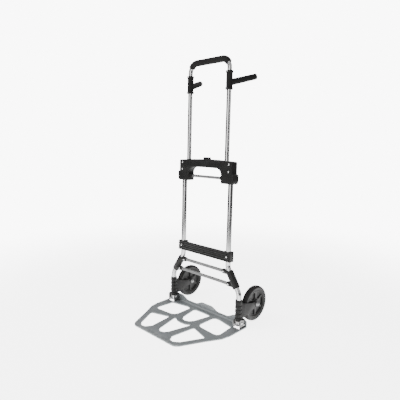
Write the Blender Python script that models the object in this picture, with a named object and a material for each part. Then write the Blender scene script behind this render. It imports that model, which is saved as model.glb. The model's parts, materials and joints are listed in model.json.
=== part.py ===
"""Folding hand truck: telescoping handle, swivelling side grips, folding toe plate and wheel forks.

World frame: +X to the truck's right, +Y to the back (wheel side), +Z up, floor at z = 0, and the
origin under the middle of the footprint. The empty "feet" stands between the tubes' feet, and the
toe plate's pieces are drawn from it. The empty "frame_lean" hangs from it and leans back by LEAN. The
frame's pieces are drawn upright from that one, so "h" is a height along the tubes and "y" a depth
square to the frame.
"""
import math

import bmesh
import bpy
from mathutils import Matrix, Vector

# ---- overall layout ------------------------------------------------------------------------------
LEAN = math.radians(1.9)          # backward lean of the frame
GAP = 0.0003                      # between pieces that touch
RUN = 0.0004                      # between pieces that turn or slide on each other
OVER = 0.010                      # how far a cutter runs past what it cuts
LOWER_X = 0.1593                  # lower tubes, from the middle plane
UPPER_X = 0.130                   # handle tubes, from the middle plane
FOOT_X = 0.2341                   # vertical feet of the lower tubes
BEND_TOP_H = 0.285                # corner where a lower tube turns outward
BEND_LOW_H = 0.171                # corner where it turns upright again
BEND_R = 0.055

# ---- tubes ---------------------------------------------------------------------------------------
LOWER_R = 0.0125
LOWER_WALL = 0.0018
LOWER_TOP_H = 0.797
LOWER_END_H = 0.012
HANDLE_R = 0.011
HANDLE_WALL = 0.0016
HANDLE_TOP_H = 1.285              # centre line of the top bar
HANDLE_END_H = 0.698
HANDLE_BEND_R = 0.045
HANDLE_TRAVEL = 0.329

# ---- handle grip and side grips ------------------------------------------------------------------
GRIP_R = HANDLE_R + 0.0045
GRIP_TAIL = 0.004                 # foam past the bend step where it ends
CLAMP_LOW_H = 1.140
CLAMP_HIGH_H = 1.226
CLAMP_R = HANDLE_R + 0.0045
CLAMP_RIM_R = HANDLE_R + 0.007
CLAMP_RIM_T = 0.009
STUB_H = 1.171                    # where the stub's axis leaves the tube's axis
STUB_LENGTH = 0.147
STUB_ROOT_R = CLAMP_R
STUB_TIP_R = STUB_ROOT_R - 0.0017
STUB_SPLAY = math.radians(23.7)
STUB_RISE = math.radians(16.0)

# ---- crosshead -----------------------------------------------------------------------------------
HEAD_LOW_H = 0.696
HEAD_SIDE_H = 0.803
HEAD_MID_H = HEAD_SIDE_H + 0.007
HEAD_HALF_W = 0.180
HEAD_DEPTH = 0.021                # half depth
HEAD_ARCH_H = 0.768               # underside of the bridge
HEAD_LEG_X = 0.111                # inner side of a leg
GRIP_BAR_H = 0.721
GRIP_BAR_R = 0.0072
SOCKET_R = 0.0115
BUSH_R = HANDLE_R + 0.003
LOCK_H = 0.786                    # axis of the lock pins
LOCK_PIN_R = 0.004
CAVITY_X = 0.112                  # half length of the room for the lock rods
CAVITY_Y = 0.0095
DEEP_X = 0.026                    # half length of the deeper room around the wedge
RIB_X = 0.057                     # rib that a lock spring bears on
RIB_T = 0.003
BUTTON_TRAVEL = 0.006
WEDGE_TIP = 0.004                 # wedge's tip below the lock pins' axis
BUTTON_HALF_W = 0.0195
BUTTON_TOP_H = HEAD_MID_H + 0.010
BOLT_R = 0.0025
BOLT_HEAD_R = 0.0048
HEAD_BOLT_HEIGHTS = (0.755, 0.790)

# ---- cross panel, side brackets and crossbars ------------------------------------------------------
PANEL_LOW_H = 0.316
PANEL_HIGH_H = 0.366
PANEL_HALF_W = 0.181
PANEL_FRONT = LOWER_R + 0.0045
PANEL_BACK = LOWER_R + 0.004
PANEL_WEB = 0.006
PANEL_RELIEF = 0.003              # depth of the grooves between the panel's ribs
PANEL_CHEEK = 0.009               # plastic beside the tube
PANEL_RIBS = 5
PANEL_BOLT_H = 0.341
SLEEVE_R = LOWER_R + 0.006
SLEEVE_CLEAR = (0.002, 0.012)      # from the upper and the lower bend
UPPER_BAR_H = 0.264
LOWER_BAR_H = 0.207
UPPER_SOCKET_X = 0.132            # open ends of the sockets
LOWER_SOCKET_X = 0.165
BAR_DEPTH_Y = -0.004              # crossbars sit slightly forward of the tubes
BAR_HALF_H = 0.0078
BAR_HALF_T = 0.0052
BAR_WALL = 0.0016
BAR_INSERT = 0.018
BAR_SOCKET_R = 0.0125

# ---- wheels and forks ------------------------------------------------------------------------------
WHEEL_R = 0.089
WHEEL_BACK = WHEEL_R + 0.038      # axle behind the tube's foot, along the floor
TYRE_HALF_W = 0.0155
RIM_R = WHEEL_R - 0.020
RIM_HALF_W = TYRE_HALF_W - 0.002
HUB_BORE_R = 0.0092
HUB_BOSS_R = 0.019
HUB_WEB = 0.009                   # half thickness of the closed web between rim and boss
RIM_LIP = 0.008                   # depth of the rim at the tyre
BOSS_FOOT = 0.004                 # how much wider the boss is at the web
AXLE_R = 0.005
CAP_R = 0.0115
FORK_R = LOWER_R + 0.0045
FORK_LOW_H = 0.0357
FORK_HIGH_H = 0.136
FORK_GROOVES = 4
ARM_ROOT_Y = 0.006
ARM_IN = TYRE_HALF_W + 0.0015
ARM_OUT = ARM_IN + 0.0035
CAP_OUT = ARM_OUT + 0.0105        # outer face of a cap, from the wheel's middle plane
ARM_ROOT_LOW_H = 0.050
ARM_ROOT_HIGH_H = 0.126
COLLAR_T = 0.005
COLLAR_R = LOWER_R + 0.004

# ---- toe plate -------------------------------------------------------------------------------------
PIVOT_H = 0.029
PIVOT_R = 0.004
PLATE_T = 0.007
PLATE_SKIN = 0.003
PLATE_RIM = 0.004
PLATE_HALF_W = 0.266
PLATE_FRONT = 0.341
WALL_BACK = 0.0285                # rear wall's back face, behind the pivot
WALL_T = 0.003
WALL_FOOT = 0.001                 # lower edge of the wall above the floor
EAR_T = 0.0033
EAR_IN_X = FOOT_X - FORK_R - RUN - EAR_T     # inner face of the inner ear
EAR_OUT_X = FOOT_X + ARM_OUT + 0.0005        # inner face of the outer ear
RIVET_R = 0.0022
RIVET_HEAD_R = 0.0046

FEET_Y = (PLATE_FRONT - WHEEL_BACK - WHEEL_R) / 2    # tubes' feet behind the footprint's middle

# ---- facets ----------------------------------------------------------------------------------------
TUBE_SIDES = 12
HANDLE_SIDES = 12
BORE_SIDES = 16                   # enough that the flats of a bore still clear the tube in it
FORK_SIDES = 22                   # other counts leave sliver faces where the arms meet the sleeve
WHEEL_SIDES = 28
BEND_STEPS = 4

LOOKS = {
    "bright_tube": ((0.80, 0.80, 0.80), 0.18, 1.0),
    "plate_alloy": ((0.28, 0.30, 0.31), 0.45, 0.9),
    "bracket_steel": ((0.62, 0.61, 0.58), 0.35, 1.0),
    "bar_grey": ((0.25, 0.25, 0.26), 0.45, 0.7),
    "black_plastic": ((0.025, 0.025, 0.025), 0.45, 0.0),
    "black_foam": ((0.020, 0.020, 0.020), 0.90, 0.0),
    "tyre_rubber": ((0.030, 0.029, 0.027), 0.80, 0.0),
    "fastener": ((0.75, 0.75, 0.75), 0.25, 1.0),
    "bush_nylon": ((0.55, 0.54, 0.50), 0.50, 0.0),
    "spring_steel": ((0.45, 0.45, 0.46), 0.30, 1.0),
}


# ---- scene helpers ---------------------------------------------------------------------------------
def clear_scene():
    for thing in list(bpy.data.objects):
        bpy.data.objects.remove(thing, do_unlink=True)


def look(name):
    """The material of that name, made on first use."""
    made = bpy.data.materials.get(name)
    if made:
        return made
    colour, roughness, metallic = LOOKS[name]
    made = bpy.data.materials.new(name)
    made.use_nodes = True
    shader = made.node_tree.nodes["Principled BSDF"]
    shader.inputs["Base Color"].default_value = (*colour, 1.0)
    shader.inputs["Roughness"].default_value = roughness
    shader.inputs["Metallic"].default_value = metallic
    return made


def place(name, shape, finish, parent, origin=(0, 0, 0)):
    """Object from a bmesh drawn in its parent's frame, with its origin at the given point."""
    origin = Vector(origin)
    bmesh.ops.translate(shape, verts=shape.verts, vec=-origin)
    bmesh.ops.recalc_face_normals(shape, faces=shape.faces)
    mesh = bpy.data.meshes.new(name)
    shape.to_mesh(mesh)
    shape.free()
    mesh.shade_smooth()
    mesh.set_sharp_from_angle(angle=math.radians(35))
    if finish:
        mesh.materials.append(look(finish))
    thing = bpy.data.objects.new(name, mesh)
    thing.parent = parent
    thing.location = origin
    bpy.context.collection.objects.link(thing)
    return thing


def combine(target, shape, operation):
    """Cut a shape from an object, add it, or keep only what both share. The shape is drawn in the
    parent's frame, like the object's own."""
    number = sum(1 for step in target.modifiers if step.type == "BOOLEAN")
    helper = place(f"{target.name}_{operation.lower()}_{number}", shape, None, target.parent,
                   target.location)
    helper.display_type = "WIRE"
    helper.hide_render = True
    step = target.modifiers.new(f"{operation.lower()}_{number}", "BOOLEAN")
    step.operation = operation
    step.solver = "EXACT"
    step.object = helper
    return helper


def cut(target, shape):
    return combine(target, shape, "DIFFERENCE")


def add(target, shape):
    return combine(target, shape, "UNION")


# ---- shape helpers ---------------------------------------------------------------------------------
def arc(centre, radii, start, end, steps):
    """Points on an ellipse, from one angle to another in degrees."""
    points = []
    for step in range(steps + 1):
        angle = math.radians(start + (end - start) * step / steps)
        points.append((centre[0] + radii[0] * math.cos(angle), centre[1] + radii[1] * math.sin(angle)))
    return points


def mirrored(points):
    """A half outline at +X, closed by its mirror image at -X."""
    return list(points) + [(-x, other) for x, other in reversed(points) if abs(x) > 1e-9]


def offset(points, distance):
    """The outline moved inward by a distance (outward where it is negative), corners kept."""
    count = len(points)
    area = sum(points[i][0] * points[(i + 1) % count][1] - points[(i + 1) % count][0] * points[i][1]
               for i in range(count))
    sense = 1.0 if area > 0 else -1.0
    moved = []
    for i in range(count):
        here = Vector(points[i])
        before = (here - Vector(points[i - 1])).normalized()
        after = (Vector(points[(i + 1) % count]) - here).normalized()
        normal_a = Vector((-before.y, before.x)) * sense
        normal_b = Vector((-after.y, after.x)) * sense
        middle = normal_a + normal_b
        moved.append(tuple(here + middle * (distance / max(0.3, 1.0 + normal_a.dot(normal_b)))))
    return moved


def rounded(points, radius, steps=3):
    """The closed outline with each corner replaced by an arc of about the radius."""
    result = []
    count = len(points)
    for i in range(count):
        here = Vector(points[i])
        to_last = Vector(points[i - 1]) - here
        to_next = Vector(points[(i + 1) % count]) - here
        half = to_last.angle(to_next) / 2
        reach = min(radius / math.tan(half), 0.45 * to_last.length, 0.45 * to_next.length)
        start = here + to_last.normalized() * reach
        end = here + to_next.normalized() * reach
        for step in range(steps + 1):
            t = step / steps
            result.append(tuple(start * (1 - t) ** 2 + here * (2 * t * (1 - t)) + end * t ** 2))
    return result


def axis_point(axis, flat, along):
    """A 2-D point and a distance along an axis, as a 3-D point."""
    a, b = flat
    return {"x": (along, a, b), "y": (a, along, b), "z": (a, b, along)}[axis]


def prism(outline, low, high, axis):
    """Outline extruded along an axis. Its points are (y, z), (x, z) or (x, y)."""
    shape = bmesh.new()
    bottom = [shape.verts.new(axis_point(axis, point, low)) for point in outline]
    top = [shape.verts.new(axis_point(axis, point, high)) for point in outline]
    shape.faces.new(bottom)
    shape.faces.new(top)
    for i in range(len(outline)):
        j = (i + 1) % len(outline)
        shape.faces.new((bottom[i], bottom[j], top[j], top[i]))
    return shape


def pipe_prism(outer, inner, low, high, axis):
    """Two outlines with the same number of points, extruded as a wall between them."""
    shape = bmesh.new()
    rings = [[shape.verts.new(axis_point(axis, point, along)) for point in outline]
             for outline, along in ((outer, low), (outer, high), (inner, high), (inner, low))]
    for k in range(4):
        first, second = rings[k], rings[(k + 1) % 4]
        for i in range(len(outer)):
            j = (i + 1) % len(outer)
            shape.faces.new((first[i], first[j], second[j], second[i]))
    return shape


def box(x, y, z):
    """Block between pairs of limits."""
    return prism([(x[0], y[0]), (x[1], y[0]), (x[1], y[1]), (x[0], y[1])], z[0], z[1], "z")


def lathe(profile, segments, closed=True):
    """Profile of (radius, z) turned about Z: a ring, or with closed=False a solid whose profile
    starts and ends on the axis."""
    shape = bmesh.new()
    rings = []
    for radius, z in profile:
        if radius < 1e-9:
            rings.append([shape.verts.new((0, 0, z))])
            continue
        ring = []
        for i in range(segments):
            angle = 2 * math.pi * i / segments
            ring.append(shape.verts.new((radius * math.cos(angle), radius * math.sin(angle), z)))
        rings.append(ring)
    pairs = list(zip(rings, rings[1:]))
    if closed:
        pairs.append((rings[-1], rings[0]))
    for first, second in pairs:
        for i in range(segments):
            j = (i + 1) % segments
            corners = [first[i % len(first)], first[j % len(first)],
                       second[j % len(second)], second[i % len(second)]]
            unique = list(dict.fromkeys(corners))
            if len(unique) > 2:
                shape.faces.new(unique)
    return shape


def rod(radius, low, high, segments=12):
    """Solid cylinder along Z."""
    return lathe([(0, low), (radius, low), (radius, high), (0, high)], segments, closed=False)


def ring(inner, outer, low, high, segments=20):
    """Plain ring about Z."""
    return lathe([(inner, low), (outer, low), (outer, high), (inner, high)], segments)


def turned(shape, axis, at=(0, 0, 0)):
    """Shape drawn along +Z, laid along another axis and moved."""
    direction = {"x": (1, 0, 0), "y": (0, 1, 0), "z": (0, 0, 1)}[axis] if isinstance(axis, str) else axis
    spin = Vector((0, 0, 1)).rotation_difference(Vector(direction)).to_matrix().to_4x4()
    bmesh.ops.transform(shape, matrix=Matrix.Translation(at) @ spin, verts=shape.verts)
    return shape


def rounded_path(corners, radius, steps):
    """Points of a path in the X-H plane whose inner corners are arcs of the radius."""
    points = [Vector(corners[0])]
    for before, here, after in zip(corners, corners[1:], corners[2:]):
        here = Vector(here)
        back = (Vector(before) - here).normalized()
        on = (Vector(after) - here).normalized()
        half = back.angle(on) / 2
        centre = here + (back + on).normalized() * (radius / math.sin(half))
        start = here + back * (radius / math.tan(half)) - centre
        end = here + on * (radius / math.tan(half)) - centre
        sweep_angle = start.angle(end)
        for step in range(steps + 1):
            t = step / steps
            mix = (start * math.sin((1 - t) * sweep_angle) + end * math.sin(t * sweep_angle))
            points.append(centre + mix / math.sin(sweep_angle))
    points.append(Vector(corners[-1]))
    return points


def sweep(points, radius, sides, inner=None, sideways=None):
    """Round section along a path. With an inner radius it is a tube. sideways gives one section
    axis at each point, and is +Y for a path that lies in the X-H plane."""
    shape = bmesh.new()
    points = [Vector(point) for point in points]
    last = len(points) - 1
    loops = {}
    for size in [radius] + ([inner] if inner else []):
        loops[size] = []
        for i, point in enumerate(points):
            before = (point - points[i - 1]).normalized() if i else Vector()
            after = (points[i + 1] - point).normalized() if i < last else Vector()
            along = (before + after).normalized()
            normal = Vector(sideways[i]) if sideways else Vector((0, 1, 0))
            other = along.cross(normal).normalized()
            loop = []
            for k in range(sides):
                angle = 2 * math.pi * k / sides
                offset_here = normal * math.cos(angle) + other * math.sin(angle)
                loop.append(shape.verts.new(point + offset_here * size))
            loops[size].append(loop)
    for size, path in loops.items():
        for first, second in zip(path, path[1:]):
            for i in range(sides):
                j = (i + 1) % sides
                shape.faces.new((first[i], first[j], second[j], second[i]))
    for end in (0, -1):
        if not inner:
            shape.faces.new(loops[radius][end])
            continue
        outer_loop, inner_loop = loops[radius][end], loops[inner][end]
        for i in range(sides):
            j = (i + 1) % sides
            shape.faces.new((outer_loop[i], outer_loop[j], inner_loop[j], inner_loop[i]))
    return shape


def bolt(axis, at, grip, head_t=0.0022, radius=BOLT_R, head=BOLT_HEAD_R, segments=8):
    """Bolt or rivet with a domed head at both ends. The grip is what it holds, from end to end."""
    low, high = grip
    profile = [(0, low - head_t), (head * 0.6, low - head_t), (head, low - head_t * 0.3), (head, low - GAP),
               (radius, low - GAP), (radius, high + GAP), (head, high + GAP),
               (head, high + head_t * 0.3), (head * 0.6, high + head_t), (0, high + head_t)]
    return turned(lathe(profile, segments, closed=False), axis, at)


def to_frame(y, z):
    """Level depth and height from the feet, as depth and height in the leaning frame."""
    return y * math.cos(LEAN) - z * math.sin(LEAN), y * math.sin(LEAN) + z * math.cos(LEAN)


def side_name(side):
    return "right" if side > 0 else "left"


# ---- lower tubes and their feet --------------------------------------------------------------------
def lower_path(side):
    corners = [(side * LOWER_X, 0, LOWER_TOP_H), (side * LOWER_X, 0, BEND_TOP_H),
               (side * FOOT_X, 0, BEND_LOW_H), (side * FOOT_X, 0, LOWER_END_H)]
    return rounded_path(corners, BEND_R, BEND_STEPS)


def lower_tube(frame, side):
    tube = place(f"lower_tube_{side_name(side)}",
                 sweep(lower_path(side), LOWER_R, TUBE_SIDES, LOWER_R - LOWER_WALL), "bright_tube", frame)
    for height in (*HEAD_BOLT_HEIGHTS, PANEL_BOLT_H):
        hole = rod(BOLT_R + GAP, -2 * LOWER_R, 2 * LOWER_R, 8)
        cut(tube, turned(hole, "y", (side * LOWER_X, 0, height)))
    hole = rod(PIVOT_R + GAP, -2 * LOWER_R, 2 * LOWER_R)
    cut(tube, turned(hole, "x", (side * FOOT_X, 0, PIVOT_H)))


def foot_plug(frame, side):
    top = PIVOT_H - PIVOT_R - 2 * GAP
    place(f"foot_plug_{side_name(side)}",
          turned(rod(LOWER_R - LOWER_WALL - GAP, LOWER_END_H + GAP, top, TUBE_SIDES), "z",
                 (side * FOOT_X, 0, 0)),
          "black_plastic", frame)


def pivot_pin(frame, side):
    inner = EAR_IN_X - GAP
    outer = EAR_OUT_X + EAR_T + GAP
    grip = (inner, outer) if side > 0 else (-outer, -inner)
    place(f"pivot_pin_{side_name(side)}",
          bolt("x", (0, 0, PIVOT_H), grip, 0.0026, PIVOT_R, PIVOT_R + 0.0026, 12), "fastener", frame)


# ---- telescoping handle ----------------------------------------------------------------------------
def handle_path(end_h):
    corners = [(-UPPER_X, 0, end_h), (-UPPER_X, 0, HANDLE_TOP_H), (UPPER_X, 0, HANDLE_TOP_H),
               (UPPER_X, 0, end_h)]
    return rounded_path(corners, HANDLE_BEND_R, BEND_STEPS + 1)


def handle_tube(frame):
    shape = sweep(handle_path(HANDLE_END_H), HANDLE_R, HANDLE_SIDES, HANDLE_R - HANDLE_WALL)
    tube = place("handle_tube", shape, "bright_tube", frame, (0, 0, HANDLE_END_H))
    for side in (-1, 1):
        for height in (LOCK_H, LOCK_H + HANDLE_TRAVEL):
            hole = rod(LOCK_PIN_R + GAP, 0, HANDLE_R + GAP, 8)
            cut(tube, turned(hole, (-side, 0, 0), (side * UPPER_X, 0, height)))


def handle_grip(frame):
    """Foam on the top bar, which ends part of the way down each bend."""
    path = handle_path(HANDLE_END_H)
    tails = [path[i] + (path[j] - path[i]).normalized() * GRIP_TAIL for i, j in ((3, 2), (-4, -3))]
    place("handle_grip", sweep([tails[0]] + path[3:-3] + [tails[1]], GRIP_R, HANDLE_SIDES, HANDLE_R + GAP),
          "black_foam", frame, (0, 0, HANDLE_END_H))


# ---- side grips ------------------------------------------------------------------------------------
def stub_direction(side):
    """Where a side grip's stub points, in the leaning frame."""
    flat = math.cos(STUB_RISE)
    return (side * math.sin(STUB_SPLAY) * flat, math.cos(STUB_SPLAY) * flat, math.sin(STUB_RISE))


def clamp_profile():
    """Sleeve with a rim at each end, before the tube's bore is cut."""
    return [(0, CLAMP_LOW_H), (CLAMP_RIM_R, CLAMP_LOW_H), (CLAMP_RIM_R, CLAMP_LOW_H + CLAMP_RIM_T),
            (CLAMP_R, CLAMP_LOW_H + CLAMP_RIM_T + 0.002), (CLAMP_R, CLAMP_HIGH_H - CLAMP_RIM_T - 0.002),
            (CLAMP_RIM_R, CLAMP_HIGH_H - CLAMP_RIM_T), (CLAMP_RIM_R, CLAMP_HIGH_H), (0, CLAMP_HIGH_H)]


def side_grip(frame, side):
    name = side_name(side)
    axis_at = (side * UPPER_X, 0, STUB_H)
    sleeve = turned(lathe(clamp_profile(), BORE_SIDES, closed=False), "z", (side * UPPER_X, 0, 0))
    body = place(f"side_grip_{name}", sleeve, "black_plastic", frame, axis_at)
    stub = lathe([(0, 0), (STUB_ROOT_R, 0), (STUB_TIP_R, STUB_LENGTH - 0.003),
                  (STUB_TIP_R - 0.003, STUB_LENGTH), (0, STUB_LENGTH)], 16, closed=False)
    add(body, turned(stub, stub_direction(side), axis_at))
    reach = 2 * CLAMP_RIM_R
    x_limits = (side * UPPER_X - reach, side * UPPER_X + reach)
    h_limits = (CLAMP_LOW_H - OVER, CLAMP_HIGH_H + OVER)
    cut(body, box(x_limits, (-reach, GAP / 2), h_limits))
    bore = rod(HANDLE_R + RUN, *h_limits, BORE_SIDES)
    cut(body, turned(bore, "z", (side * UPPER_X, 0, 0)))

    sleeve = turned(lathe(clamp_profile(), BORE_SIDES, closed=False), "z", (side * UPPER_X, 0, 0))
    cap = place(f"side_grip_cap_{name}", sleeve, "black_plastic", frame, axis_at)
    cut(cap, box(x_limits, (-GAP / 2, reach), h_limits))
    bore = rod(HANDLE_R + RUN, *h_limits, BORE_SIDES)
    cut(cap, turned(bore, "z", (side * UPPER_X, 0, 0)))


# ---- crosshead -------------------------------------------------------------------------------------
def crosshead_outline():
    """Inverted U: bridge, hand opening and two legs, as points of x and height."""
    outer = [(0.0, HEAD_MID_H), (0.060, HEAD_MID_H - 0.001), (HEAD_HALF_W - 0.008, HEAD_SIDE_H)]
    outer += arc((HEAD_HALF_W - 0.006, HEAD_SIDE_H - 0.006), (0.006, 0.006), 70, 0, 3)
    outer += [(HEAD_HALF_W, 0.747), (HEAD_HALF_W + 0.010, 0.741), (HEAD_HALF_W + 0.011, 0.712),
              (HEAD_HALF_W + 0.004, HEAD_LOW_H), (HEAD_LEG_X + 0.007, HEAD_LOW_H),
              (HEAD_LEG_X, HEAD_LOW_H + 0.008)]
    arch_centre = (HEAD_LEG_X - 0.034, HEAD_ARCH_H - 0.032)
    arch = arc(arch_centre, (0.034, 0.032), 0, 90, 6)
    return mirrored(outer + arch + [(0.0, HEAD_ARCH_H + 0.001)])


def cavity_outlines(sign):
    """Room for the button, its wedge and the lock rods, as outlines of x and height. A rib for the
    lock spring stays on the side that faces this shell."""
    low, high = LOCK_H - 0.007, LOCK_H + 0.0085
    deep_low, deep_high = LOCK_H - WEDGE_TIP - BUTTON_TRAVEL - 0.003, LOCK_H + 0.012
    main = [(CAVITY_X, low), (DEEP_X, low), (DEEP_X, deep_low), (-DEEP_X, deep_low), (-DEEP_X, low),
            (-RIB_X, low), (-RIB_X, high), (-DEEP_X, high), (-DEEP_X, deep_high), (DEEP_X, deep_high),
            (DEEP_X, high), (CAVITY_X, high)]
    beyond = [(-RIB_X - RIB_T, low), (-CAVITY_X, low), (-CAVITY_X, high), (-RIB_X - RIB_T, high)]
    return [(sign * x, height) for x, height in main], [(sign * x, height) for x, height in beyond]


def crosshead_shell(frame, name, sign):
    """Front shell (sign -1) or rear shell (sign +1), split in the tubes' plane."""
    near, far = sign * GAP / 2, sign * HEAD_DEPTH
    shell = place(name, prism(crosshead_outline(), near, far, "y"), "black_plastic", frame)
    half_turn = (-90, 90) if sign > 0 else (90, 270)
    for side in (-1, 1):
        half_disc = arc((near, GRIP_BAR_H), (SOCKET_R, SOCKET_R), *half_turn, 8)
        add(shell, prism(half_disc, side * (HEAD_LEG_X - 0.014), side * (HEAD_LEG_X + 0.006), "x"))
    for side in (-1, 1):
        bore = rod(LOWER_R + GAP, HEAD_LOW_H - OVER, LOWER_TOP_H + GAP, BORE_SIDES)
        cut(shell, turned(bore, "z", (side * LOWER_X, 0, 0)))
        bore = rod(BUSH_R + GAP, HEAD_LOW_H - OVER, HEAD_MID_H + OVER, BORE_SIDES)
        cut(shell, turned(bore, "z", (side * UPPER_X, 0, 0)))
        for height in HEAD_BOLT_HEIGHTS:
            hole = rod(BOLT_R + GAP, -HEAD_DEPTH - OVER, HEAD_DEPTH + OVER, 8)
            cut(shell, turned(hole, "y", (side * LOWER_X, 0, height)))
        hole = rod(LOCK_PIN_R + GAP, CAVITY_X - OVER, UPPER_X)
        cut(shell, turned(hole, (side, 0, 0), (0, 0, LOCK_H)))
    bar_end = HEAD_LEG_X + 0.001
    cut(shell, turned(rod(GRIP_BAR_R + GAP, -bar_end, bar_end, 16), "x", (0, 0, GRIP_BAR_H)))
    for outline in cavity_outlines(sign):
        cut(shell, prism(outline, -CAVITY_Y, CAVITY_Y, "y"))
    button_x = BUTTON_HALF_W + 0.0005
    cut(shell, box((-button_x, button_x), (-0.008, 0.008), (LOCK_H, HEAD_MID_H + OVER)))


def grip_bar(frame):
    end = HEAD_LEG_X + 0.001 - GAP
    outer = arc((0, GRIP_BAR_H), (GRIP_BAR_R, GRIP_BAR_R), 0, 330, 11)
    inner = arc((0, GRIP_BAR_H), (GRIP_BAR_R - 0.0015, GRIP_BAR_R - 0.0015), 0, 330, 11)
    place("crosshead_grip_bar", pipe_prism(outer, inner, -end, end, "x"), "bar_grey", frame)


def guide_bush(frame, side):
    bush = ring(HANDLE_R + RUN, BUSH_R, HEAD_LOW_H + 0.001, HEAD_SIDE_H - 0.001, BORE_SIDES)
    body = place(f"guide_bush_{side_name(side)}", turned(bush, "z", (side * UPPER_X, 0, 0)),
                 "bush_nylon", frame)
    hole = rod(LOCK_PIN_R + GAP, UPPER_X - 0.02, UPPER_X - 0.005)
    cut(body, turned(hole, (side, 0, 0), (0, 0, LOCK_H)))


def crosshead_bolts(frame, side):
    for level, height in zip(("lower", "upper"), HEAD_BOLT_HEIGHTS):
        place(f"crosshead_bolt_{level}_{side_name(side)}",
              bolt("y", (side * LOWER_X, 0, height), (-HEAD_DEPTH, HEAD_DEPTH)), "fastener", frame)


def release_button(frame):
    """Button with a retaining flange and a wedge that draws the lock rods in."""
    flange_low = LOCK_H + BUTTON_TRAVEL + 0.001
    flange_top = LOCK_H + 0.012 - RUN
    top = rounded([(-BUTTON_HALF_W, BUTTON_TOP_H), (BUTTON_HALF_W, BUTTON_TOP_H),
                   (BUTTON_HALF_W, flange_top - 0.001), (-BUTTON_HALF_W, flange_top - 0.001)], 0.004)
    button = place("release_button", prism(top, -0.0075, 0.0075, "y"), "black_plastic", frame,
                   (0, 0, LOCK_H))
    add(button, box((-0.024, 0.024), (-0.009, 0.009), (flange_low, flange_top)))
    wedge = [(-0.012, flange_low + 0.001), (-0.012, flange_low), (-0.001, LOCK_H - WEDGE_TIP),
             (0.001, LOCK_H - WEDGE_TIP), (0.012, flange_low), (0.012, flange_low + 0.001)]
    add(button, prism(wedge, -0.0027, 0.0027, "y"))


def lock_rod(frame, side):
    """Rod whose pin points to its own side, and whose tab the wedge pushes the other way."""
    low = LOCK_H - 0.006
    pin_tip = UPPER_X - HANDLE_R - GAP

    def flip(shape):
        if side < 0:
            bmesh.ops.rotate(shape, cent=(0, 0, 0), matrix=Matrix.Rotation(math.pi, 3, "Z"),
                             verts=shape.verts)
        return shape

    body = place(f"lock_rod_{side_name(side)}", flip(box((-0.017, 0.092), (0.0035, 0.0085),
                 (low, LOCK_H))), "bar_grey", frame, (0, 0, LOCK_H))
    tab = [(-0.017, low), (-0.004, low), (-0.004, LOCK_H - 0.0014), (-0.0058, LOCK_H + 0.0004),
           (-0.017, LOCK_H + 0.0004)]
    add(body, flip(prism(tab, -0.0027, 0.006, "y")))
    add(body, flip(box((0.090, 0.106), (-0.0045, 0.0085), (low, LOCK_H + 0.006))))
    add(body, flip(turned(rod(LOCK_PIN_R, 0.104, pin_tip, 12), "x", (0, 0, LOCK_H))))


def lock_spring(frame, side):
    """Compression spring between its rib and the rod's shoulder."""
    start, end = 0.0605, 0.0895
    coil_r, wire_r, turns, per_turn = 0.0032, 0.0005, 4, 7
    points, radial = [], []
    count = turns * per_turn
    for i in range(count + 1):
        angle = 2 * math.pi * i / per_turn
        out = Vector((0, math.cos(angle), math.sin(angle)))
        points.append(Vector((side * (start + (end - start) * i / count), -side * 0.0007, LOCK_H))
                      + out * coil_r)
        radial.append(out)
    place(f"lock_spring_{side_name(side)}", sweep(points, wire_r, 4, sideways=radial), "spring_steel",
          frame)


# ---- cross panel -----------------------------------------------------------------------------------
def panel_profile():
    """Ribbed front and flat back of the panel's middle, as points of depth and height."""
    pitch = (PANEL_HIGH_H - PANEL_LOW_H) / PANEL_RIBS
    front = []
    for i in range(PANEL_RIBS):
        low = PANEL_LOW_H + i * pitch
        front += [(-PANEL_FRONT + PANEL_RELIEF, low), (-PANEL_FRONT, low + 0.15 * pitch),
                  (-PANEL_FRONT, low + 0.70 * pitch), (-PANEL_FRONT + PANEL_RELIEF, low + 0.85 * pitch)]
    front.append((-PANEL_FRONT + PANEL_RELIEF, PANEL_HIGH_H))
    return front + [(-PANEL_FRONT + PANEL_RELIEF + PANEL_WEB, PANEL_HIGH_H),
                    (-PANEL_FRONT + PANEL_RELIEF + PANEL_WEB, PANEL_LOW_H)]


def panel_bores(piece, side):
    """The tube's bore and the bolt's hole, in the panel or its clamp."""
    bore = rod(LOWER_R + GAP, PANEL_LOW_H - OVER, PANEL_HIGH_H + OVER, BORE_SIDES)
    cut(piece, turned(bore, "z", (side * LOWER_X, 0, 0)))
    hole = rod(BOLT_R + GAP, -HEAD_DEPTH - OVER, HEAD_DEPTH + OVER, 8)
    cut(piece, turned(hole, "y", (side * LOWER_X, 0, PANEL_BOLT_H)))


def cross_panel(frame):
    inner = LOWER_X - LOWER_R - PANEL_CHEEK
    panel = place("cross_panel", prism(panel_profile(), -PANEL_HALF_W, PANEL_HALF_W, "x"),
                  "black_plastic", frame)
    for side in (-1, 1):
        x_limits = sorted((side * inner, side * PANEL_HALF_W))
        y_limits = (-PANEL_FRONT + PANEL_RELIEF + 0.002, -GAP / 2)
        add(panel, box(x_limits, y_limits, (PANEL_LOW_H, PANEL_HIGH_H)))
        panel_bores(panel, side)


def panel_clamp(frame, side):
    inner = LOWER_X - LOWER_R - PANEL_CHEEK
    outline = rounded([(side * inner, GAP / 2), (side * PANEL_HALF_W, GAP / 2),
                       (side * PANEL_HALF_W, PANEL_BACK), (side * inner, PANEL_BACK)], 0.004)
    clamp = place(f"panel_clamp_{side_name(side)}", prism(outline, PANEL_LOW_H, PANEL_HIGH_H, "z"),
                  "black_plastic", frame)
    panel_bores(clamp, side)


def panel_bolt(frame, side):
    place(f"panel_bolt_{side_name(side)}",
          bolt("y", (side * LOWER_X, 0, PANEL_BOLT_H), (-PANEL_FRONT, PANEL_BACK)), "fastener", frame)


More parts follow.
